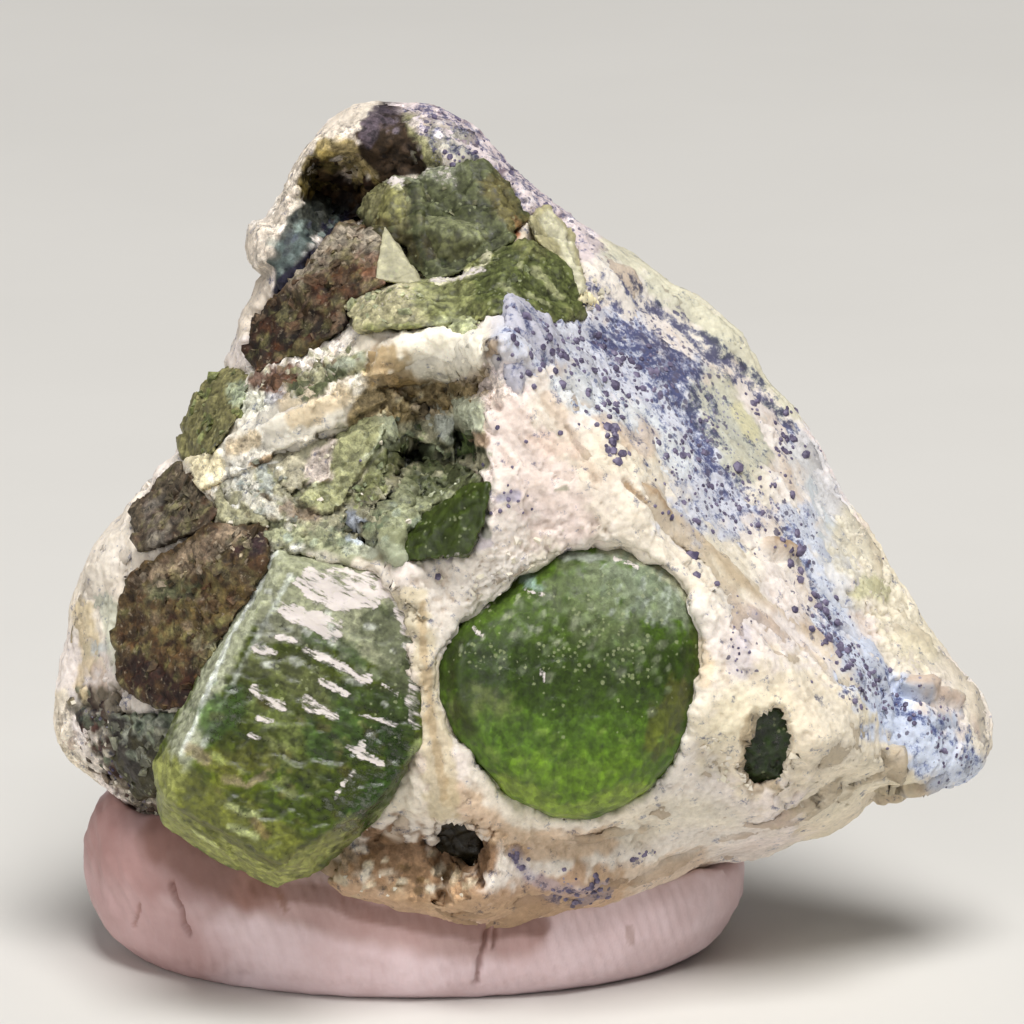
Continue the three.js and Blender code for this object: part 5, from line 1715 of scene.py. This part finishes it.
def scatter(name, patches, material, shape, only=("magnesite",)):
    """Small stones of random sizes on a stone, each made in a bmesh by the shape function."""
    bm = bmesh.new()
    pigment = bm.verts.layers.float_color.new("pigment")
    for patch in patches:
        count, smallest, largest, radius, line, code, clumps = patch + ("#FFFFFF", 0)[len(patch) - 5 :]
        for _ in range(count):
            found = drop(*along(line, radius, clumps), only)
            size = (smallest + (largest - smallest) * draw.random() ** 2) * MM
            if found is None:
                continue
            place, normal = found
            lean = Vector((draw.gauss(0, 0.25), draw.gauss(0, 0.25), 1)).to_track_quat("Z", "Y")
            turn = (normal.to_track_quat("Z", "Y") @ lean).to_matrix().to_4x4()
            spin = Matrix.Rotation(draw.random() * math.tau, 4, "Z")
            shade = draw.uniform(0.7, 1.2)
            for vert in shape(bm, Matrix.Translation(place) @ turn @ spin, size):
                vert[pigment] = [channel * shade for channel in linear(code)[:3]] + [1]
    mesh = bpy.data.meshes.new(name)
    bm.to_mesh(mesh)
    bm.free()
    obj = bpy.data.objects.new(name, mesh)
    bpy.context.scene.collection.objects.link(obj)
    for layer, value in (("veil", 0.75), ("crust", 0.1), ("specks", 0.05)):
        mark(obj, layer, np.full(len(mesh.vertices), value))
    place_piece(obj, material, None)


def grain_shape(bm, matrix, size):
    """A rounded grain, half sunk."""
    flat = Matrix.Diagonal((draw.uniform(0.8, 1.25), 1, 0.65, 1))
    return bmesh.ops.create_icosphere(bm, subdivisions=1, radius=size / 2, matrix=matrix @ flat)["verts"]


def splinter_shape(bm, matrix, size):
    """An angular splinter: a long block whose corners are knocked about at random, half sunk."""
    sides = Vector((draw.uniform(0.6, 1.1), draw.uniform(0.4, 0.7), draw.uniform(0.3, 0.6))) * size
    made = bmesh.ops.create_cube(bm, size=1, matrix=matrix @ Matrix.Diagonal((*sides, 1)))
    for vert in made["verts"]:
        vert.co += Vector([draw.uniform(-0.22, 0.22) * size for _ in range(3)])
    sides = {face for vert in made["verts"] for face in vert.link_faces}
    bmesh.ops.triangulate(bm, faces=list(sides))
    return made["verts"]


# %% Dark grains
GRAINS = [
    (70, 0.14, 0.46, 42, [(545, 335), (590, 360), (630, 385)], "#FFFFFF", 22),
    (120, 0.12, 0.36, 34, [(620, 365), (670, 410), (700, 450), (700, 500)], "#FFFFFF", 34),
    (34, 0.14, 0.36, 30, [(590, 390), (604, 420)], "#FFFFFF", 9),
    (16, 0.2, 0.5, 12, [(608, 425), (612, 460)]),
    (50, 0.12, 0.3, 34, [(725, 485), (760, 520)], "#FFFFFF", 14),
    (40, 0.16, 0.4, 16, [(760, 400), (800, 470)], "#FFFFFF", 9),
    (54, 0.14, 0.5, 11, [(785, 530), (800, 580), (815, 620), (832, 650)], "#FFFFFF", 20),
    (50, 0.14, 0.36, 14, [(835, 655), (870, 690)], "#FFFFFF", 12),
    (50, 0.1, 0.3, 30, [(860, 690), (920, 735), (975, 778)], "#FFFFFF", 20),
    (26, 0.14, 0.42, 5, [(545, 872), (575, 886), (605, 882)], "#FFFFFF", 6),
    (10, 0.14, 0.4, 6, [(512, 842), (520, 862)]),
    (8, 0.14, 0.36, 4, [(630, 856), (652, 844)]),
    (60, 0.12, 0.34, 30, [(440, 120), (500, 170), (570, 240)], "#FFFFFF", 22),
    (24, 0.1, 0.24, 300, [(600, 500), (760, 600)]),
    (14, 0.12, 0.3, 30, [(120, 725), (150, 790)], "#FFFFFF", 6),
    (12, 0.12, 0.26, 20, [(500, 505), (515, 495)]),
    (14, 0.1, 0.2, 12, [(735, 615), (735, 665)]),
]
SINGLE_GRAINS = [
    (498, 430, 0.22), (484, 466, 0.2), (440, 575, 0.34), (610, 443, 0.4), (746, 533, 0.25),
    (526, 322, 0.66), (560, 388, 0.5), (612, 388, 0.6), (575, 345, 0.4), (687, 555, 0.7),
    (692, 521, 0.45), (692, 574, 0.42), (712, 582, 0.34), (680, 503, 0.3), (735, 468, 0.6),
    (790, 495, 0.45),
]
SPUR_GRAINS = (18, 0.16, 0.42, 30, [(520, 330), (545, 380)])
GRAINS += [(1, size, size, 0.1, [(px, py)]) for px, py, size in SINGLE_GRAINS] + [SPUR_GRAINS]
scatter("dark_grains", GRAINS, dark_grain, grain_shape, ("magnesite", "spur"))

# %% Chalk crumbs
CRUMBS = [
    (16, 0.12, 0.28, 60, [(240, 490), (330, 470), (420, 520)]),
    (40, 0.12, 0.35, 18, [(405, 560), (470, 590), (540, 548), (600, 538)]),
    (14, 0.1, 0.25, 22, [(850, 540), (880, 590), (900, 640)]),
    (40, 0.15, 0.4, 44, [(110, 740), (150, 800)]),
    (10, 0.12, 0.26, 22, [(340, 884), (420, 896), (490, 890)]),
    (30, 0.15, 0.4, 26, [(720, 740), (735, 795)]),
    (30, 0.2, 0.5, 12, [(570, 298), (598, 298)]),
]
scatter("chalk_crumbs", CRUMBS, white_crumb, splinter_shape)

# %% Crystal splinters
CHUNK_NAMES = ("magnesite",) + tuple(entry[0] for entry in CRYSTAL_CHUNKS)
SPLINTERS = [
    (12, 0.15, 0.35, 30, [(235, 490), (300, 500), (320, 530)], "#A9AC9E"),
    (10, 0.15, 0.4, 16, [(352, 510), (385, 470)], "#98A27A"),
    (24, 0.15, 0.45, 22, [(400, 440), (440, 480), (470, 450)], "#4E563A"),
    (14, 0.15, 0.45, 12, [(385, 405), (480, 400)], "#6E5E3E"),
]
scatter("crystal_splinters", SPLINTERS, frosted_peridot, splinter_shape, CHUNK_NAMES)

# %% Splinters on the crystals
WEATHERED_NAMES = tuple(name for name in surfaces if name.startswith("weathered"))
LOOSE = [
    (10, 0.15, 0.45, 40, [(430, 190), (480, 230)], "#77765A"),
    (10, 0.15, 0.45, 30, [(490, 290), (560, 285)], "#7F8564"),
    (14, 0.2, 0.6, 24, [(350, 310), (410, 305)], "#BDC29A"),
    (24, 0.2, 0.7, 36, [(220, 400), (215, 440)], "#7A8052"),
    (40, 0.2, 0.7, 40, [(120, 720), (170, 770)], "#7C7C6C"),
]
LOOSE_NAMES = ("crystal_top", "crystal_band", "crystal_edge", "crystal_corner")
scatter("loose_splinters", LOOSE, frosted_peridot, splinter_shape, LOOSE_NAMES)
RUBBLE = [
    (50, 0.2, 0.6, 50, [(280, 300), (340, 280)], "#5C4A38"),
    (20, 0.2, 0.6, 16, [(320, 255), (360, 245)], "#948878"),
    (60, 0.2, 0.6, 70, [(170, 600), (230, 600), (180, 670)], "#54442E"),
    (20, 0.2, 0.6, 24, [(180, 500), (200, 490)], "#5A5242"),
    (30, 0.15, 0.5, 12, [(160, 580), (265, 535)], "#9A8C78"),
]
scatter("weathered_rubble", RUBBLE, weathered_peridot, splinter_shape, WEATHERED_NAMES)

# %% [markdown]
# ## Floor
# The floor only carries the specimen and its shadow, so it is a plain pale sheet.

# %% Floor
bm = bmesh.new()
bmesh.ops.create_grid(bm, x_segments=1, y_segments=1, size=3.0)
mesh = bpy.data.meshes.new("floor")
bm.to_mesh(mesh)
bm.free()
mesh.materials.append(floor_paint)
floor = bpy.data.objects.new("floor", mesh)
bpy.context.scene.collection.objects.link(floor)
